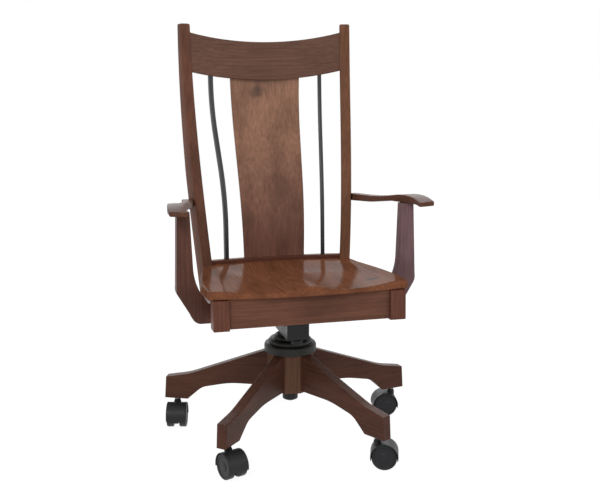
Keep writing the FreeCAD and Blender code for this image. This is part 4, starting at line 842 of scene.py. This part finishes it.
# %% [markdown]
# ## The saddled seat
# The seat is one thick board, sawn to its outline, rounded along its edges, and carved
# with two hollows that leave a ridge between the thighs. The carving follows a rule, so
# Geometry Nodes do it: the script makes the plain rounded board with a fine top, and the
# tree lowers each point by the depth that the rule gives at its place. At the front the
# ridge stands a little proud of the board's own top.


# %% The plain board
SEAT_HALF, CORNER_ROUND = 261.5, 12.0
SEAT_FRONT, FRONT_BOW = -218.0, 22.0
RIM_ROUND, RIM_THIN = 7.0, 1.5
RIM_THINS_FROM, RIM_THIN_AT = 90.0, 126.0


def seat_outline():
    """Right half of the seat's outline, front middle to rear middle, with its edge radius."""
    front = []
    straight = SEAT_HALF - CORNER_ROUND
    corner_y = SEAT_FRONT + CORNER_ROUND
    for k in range(60):
        x = straight * k / 60
        front.append((x, SEAT_FRONT - dip(x, straight, FRONT_BOW), RIM_ROUND))
    for k in range(9):
        angle = math.radians(-90 + 90 * k / 8)
        front.append((straight + CORNER_ROUND * math.cos(angle), corner_y + CORNER_ROUND * math.sin(angle),
                      RIM_ROUND))
    outer_x, outer_y = post_corner(447.0, 1)
    inner_x, inner_y = post_corner(447.0, -1)
    knots = [(-204.0, SEAT_HALF), (-110.0, 260.0), (10.0, 241.5), (outer_y, outer_x + 2.0)]
    for k in range(1, 84):
        y = corner_y + (outer_y - corner_y) * k / 84
        x = 0.0
        for i, (yi, xi) in enumerate(knots):
            weight = 1.0
            for j, (yj, _) in enumerate(knots):
                if i != j:
                    weight *= (y - yj) / (yi - yj)
            x += xi * weight
        thick = min(max((RIM_THIN_AT - y) / (RIM_THIN_AT - RIM_THINS_FROM), 0.0), 1.0)
        front.append((min(x, SEAT_HALF), y, RIM_THIN + (RIM_ROUND - RIM_THIN) * thick))
    for k in range(9):
        share = k / 8
        front.append((outer_x + 1.5 + (inner_x - outer_x - 1.5) * share,
                      outer_y - 0.3 + (inner_y - outer_y) * share, 1.2))
    for k in range(34, 0, -1):
        x = RAIL_HALF * k / 34
        front.append((x, RAIL_FACE - 0.3 + dip(x, RAIL_HALF, RAIL_BOW), 1.0))
    return front


def seat_board(name):
    """The uncarved board, with a close grid of points over its top."""
    half = seat_outline()
    middle_rear = (0.0, RAIL_FACE - 0.3 + RAIL_BOW, 1.0)
    outline = half + [middle_rear] + [(-x, y, r) for x, y, r in reversed(half[1:])]
    count = len(outline)
    inward = []
    for k in range(count):
        ax, ay, _ = outline[k - 1]
        bx, by, _ = outline[(k + 1) % count]
        length = math.hypot(bx - ax, by - ay)
        inward.append((-(by - ay) / length, (bx - ax) / length))

    def ring(inset, z):
        """Outline set in by a share of its radius, at a height that may depend on it."""
        return [(x + nx * r * inset, y + ny * r * inset, z(r))
                for (x, y, r), (nx, ny) in zip(outline, inward)]

    rim = [ring(1 - math.sin(a), lambda r, a=a: SEAT_LOW + 0.7 * r * (1 - math.cos(a)))
           for a in (math.radians(15 * k) for k in range(0, 7))]
    rim += [ring(1 - math.cos(a), lambda r, a=a: SEAT_TOP - r * (1 - math.sin(a)))
            for a in (math.radians(90 * k / 8) for k in range(0, 9))]
    middle = (0.0, -40.0)

    def drawn_in(source, share):
        return [(middle[0] + (x - middle[0]) * share, middle[1] + (y - middle[1]) * share, z)
                for x, y, z in source]

    below = [drawn_in(rim[0], share) for share in (0.05, 0.5)]
    above = [drawn_in(rim[-1], 1 - 0.98 * k / 52) for k in range(1, 53)]
    return skin(name, below + rim + above, 50)


# %% A tree that carves the saddle
SADDLE_FRONT = SEAT_FRONT - FRONT_BOW
SADDLE = {"Depth": 0.013, "Half width": SEAT_HALF * MM, "Front": SADDLE_FRONT * MM,
          "Reach": (RAIL_FACE - SADDLE_FRONT) * MM, "Top": SEAT_TOP * MM, "Ridge width": 0.052}
FRONT_SHARE, DEEPEST, CLOSING = 0.8, 0.62, 0.36
SHOULDER, NARROWING, STEEPNESS = 0.045, 0.026, 2.4
RIDGE_LIFT, RIDGE_LENGTH = 1.35, 0.7
UNCUT_BELOW, CUT_GROWS = 0.014, 0.008


def make_saddle_tree():
    """Lowers points by depth * rise(y) * bowl(x, y) * (1 - lift * ridge(x, y))."""
    tree, sizes, result = geometry_tree("saddle", SADDLE.items())

    def calc(operation, a, b=None):
        return math_node(tree, operation, a, b)

    spot = tree.nodes.new("GeometryNodeInputPosition")
    upright = tree.nodes.new("ShaderNodeVectorRotate")
    upright.rotation_type = "X_AXIS"
    tree.links.new(spot.outputs[0], upright.inputs["Vector"])
    upright.inputs["Center"].default_value = PIVOT * MM
    upright.inputs["Angle"].default_value = math.radians(REST_DEGREES)
    parts = tree.nodes.new("ShaderNodeSeparateXYZ")
    tree.links.new(upright.outputs[0], parts.inputs[0])
    x, y, z = parts.outputs
    along = calc("MAXIMUM", calc("DIVIDE", calc("SUBTRACT", y, sizes.outputs["Front"]),
                                 sizes.outputs["Reach"]), 0.0)
    quarter = calc("MULTIPLY", calc("MINIMUM", along, DEEPEST), math.pi / 2 / DEEPEST)
    early = calc("ADD", calc("MULTIPLY", calc("SINE", quarter), 1 - FRONT_SHARE), FRONT_SHARE)
    fall = calc("MAXIMUM", calc("DIVIDE", calc("SUBTRACT", along, DEEPEST), CLOSING), 0.0)
    fall = calc("MINIMUM", fall, 1.0)
    rise = calc("MULTIPLY", early, calc("COSINE", calc("MULTIPLY", fall, math.pi / 2)))
    edge = calc("SUBTRACT", sizes.outputs["Half width"], SHOULDER)
    edge = calc("SUBTRACT", edge, calc("MULTIPLY", along, NARROWING))
    reach = calc("POWER", calc("MINIMUM", calc("DIVIDE", calc("ABSOLUTE", x), edge), 1.0), STEEPNESS)
    bowl = calc("MAXIMUM", calc("COSINE", calc("MULTIPLY", reach, math.pi / 2)), 0.0)
    near = calc("POWER", calc("DIVIDE", calc("ABSOLUTE", x), sizes.outputs["Ridge width"]), 2.0)
    ridge = calc("MULTIPLY", calc("EXPONENT", calc("MULTIPLY", near, -1.0)),
                 calc("MAXIMUM", calc("SUBTRACT", 1.0, calc("DIVIDE", along, RIDGE_LENGTH)), 0.0))
    kept = calc("SUBTRACT", 1.0, calc("MULTIPLY", ridge, RIDGE_LIFT))
    depth = calc("MULTIPLY", calc("MULTIPLY", calc("MULTIPLY", rise, bowl), kept), sizes.outputs["Depth"])
    above = calc("SUBTRACT", z, calc("SUBTRACT", sizes.outputs["Top"], UNCUT_BELOW))
    upper = math_node(tree, "DIVIDE", above, CUT_GROWS, clamp=True)
    drop = calc("MULTIPLY", calc("MULTIPLY", depth, upper), -1.0)
    offset = tree.nodes.new("ShaderNodeCombineXYZ")
    tree.links.new(drop, offset.inputs["Z"])
    carve = tree.nodes.new("GeometryNodeSetPosition")
    tree.links.new(sizes.outputs["Geometry"], carve.inputs["Geometry"])
    tree.links.new(offset.outputs[0], carve.inputs["Offset"])
    real = tree.nodes.new("GeometryNodeRealizeInstances")
    tree.links.new(carve.outputs[0], real.inputs[0])
    paint = tree.nodes.new("GeometryNodeSetMaterial")
    tree.links.new(real.outputs[0], paint.inputs["Geometry"])
    tree.links.new(sizes.outputs["Material"], paint.inputs["Material"])
    tree.links.new(paint.outputs[0], result.inputs["Geometry"])
    return tree


seat = seat_board("seat_carved")
grow(seat, make_saddle_tree(), {**SADDLE, "Material": board_wood["seat"]})
stand_for(seat, "seat")
print("seat of", len(seat.data.polygons), "faces")

# %% [markdown]
# ## Boards with eased edges
# The front and side aprons and the arm supports have knife edges in CAD, and a real edge
# always catches a thin line of light. A copy of the CAD mesh is merged back into flat
# faces, and a Bevel modifier rolls its edges over. The supports are also planed a little
# slimmer from front to back, as the photograph shows them.


# %% Aprons and arm supports
def merged_copy(node):
    """Copy of a CAD node, its loose triangles merged into flat faces."""
    mesh = nodes[node].data.copy()
    mesh.transform(nodes[node].matrix_world)
    work = bmesh.new()
    work.from_mesh(mesh)
    bmesh.ops.remove_doubles(work, verts=work.verts, dist=0.01 * MM)
    bmesh.ops.dissolve_limit(work, angle_limit=math.radians(1), verts=work.verts, edges=work.edges)
    work.to_mesh(mesh)
    work.free()
    piece = bpy.data.objects.new(node + "_eased", mesh)
    bpy.context.scene.collection.objects.link(piece)
    return piece


def settle(piece, angle=35):
    """Applies a piece's modifiers and finishes its mesh."""
    ready = piece.evaluated_get(bpy.context.evaluated_depsgraph_get())
    mesh = bpy.data.meshes.new_from_object(ready)
    piece.modifiers.clear()
    piece.data = mesh
    finish_mesh(mesh, angle)


def roll_edges(piece, width):
    """Rounds a board's edges with a bevel, in millimetres."""
    edge = piece.modifiers.new("eased", "BEVEL")
    edge.width = width * MM
    edge.segments = 3
    edge.limit_method = "ANGLE"
    edge.angle_limit = math.radians(40)
    settle(piece)


APRON_ROLL, SUPPORT_ROLL = 1.6, 3.6
for node in ("front_apron", "side_apron_left", "side_apron_right"):
    piece = merged_copy(node)
    roll_edges(piece, APRON_ROLL)
    stand_for(piece, node)

CAD_FRONT, CAD_DEEP = -94.0, 46.0
PLANED_FRONT, PLANED_DEEP = -101.0, 35.0
for side in ("left", "right"):
    node = "arm_support_" + side
    piece = merged_copy(node)
    for vertex in piece.data.vertices:
        vertex.co.y = (PLANED_FRONT + (vertex.co.y / MM - CAD_FRONT) * PLANED_DEEP / CAD_DEEP) * MM
    roll_edges(piece, SUPPORT_ROLL)
    stand_for(piece, node)
    print(node, [round(v, 3) for v in piece.dimensions], len(piece.data.polygons), "faces")

# %% [markdown]
# ## The armrests
# An armrest is shaped by hand with a spokeshave until no hard edge is left. Its CAD
# solid is the right bent board with square edges. Remeshing it in small even cells and then
# smoothing those wears the edges round everywhere at once, as a spokeshave does.

# %% Armrests
CELL, WEAR_ROUNDS = 1.7, 14
for side in ("left", "right"):
    node = "armrest_" + side
    piece = merged_copy(node)
    cells = piece.modifiers.new("cells", "REMESH")
    cells.mode = "VOXEL"
    cells.voxel_size = CELL * MM
    wear = piece.modifiers.new("wear", "SMOOTH")
    wear.factor = 0.5
    wear.iterations = WEAR_ROUNDS
    settle(piece, 60)
    stand_for(piece, node)
    print(node, len(piece.data.polygons), "faces")
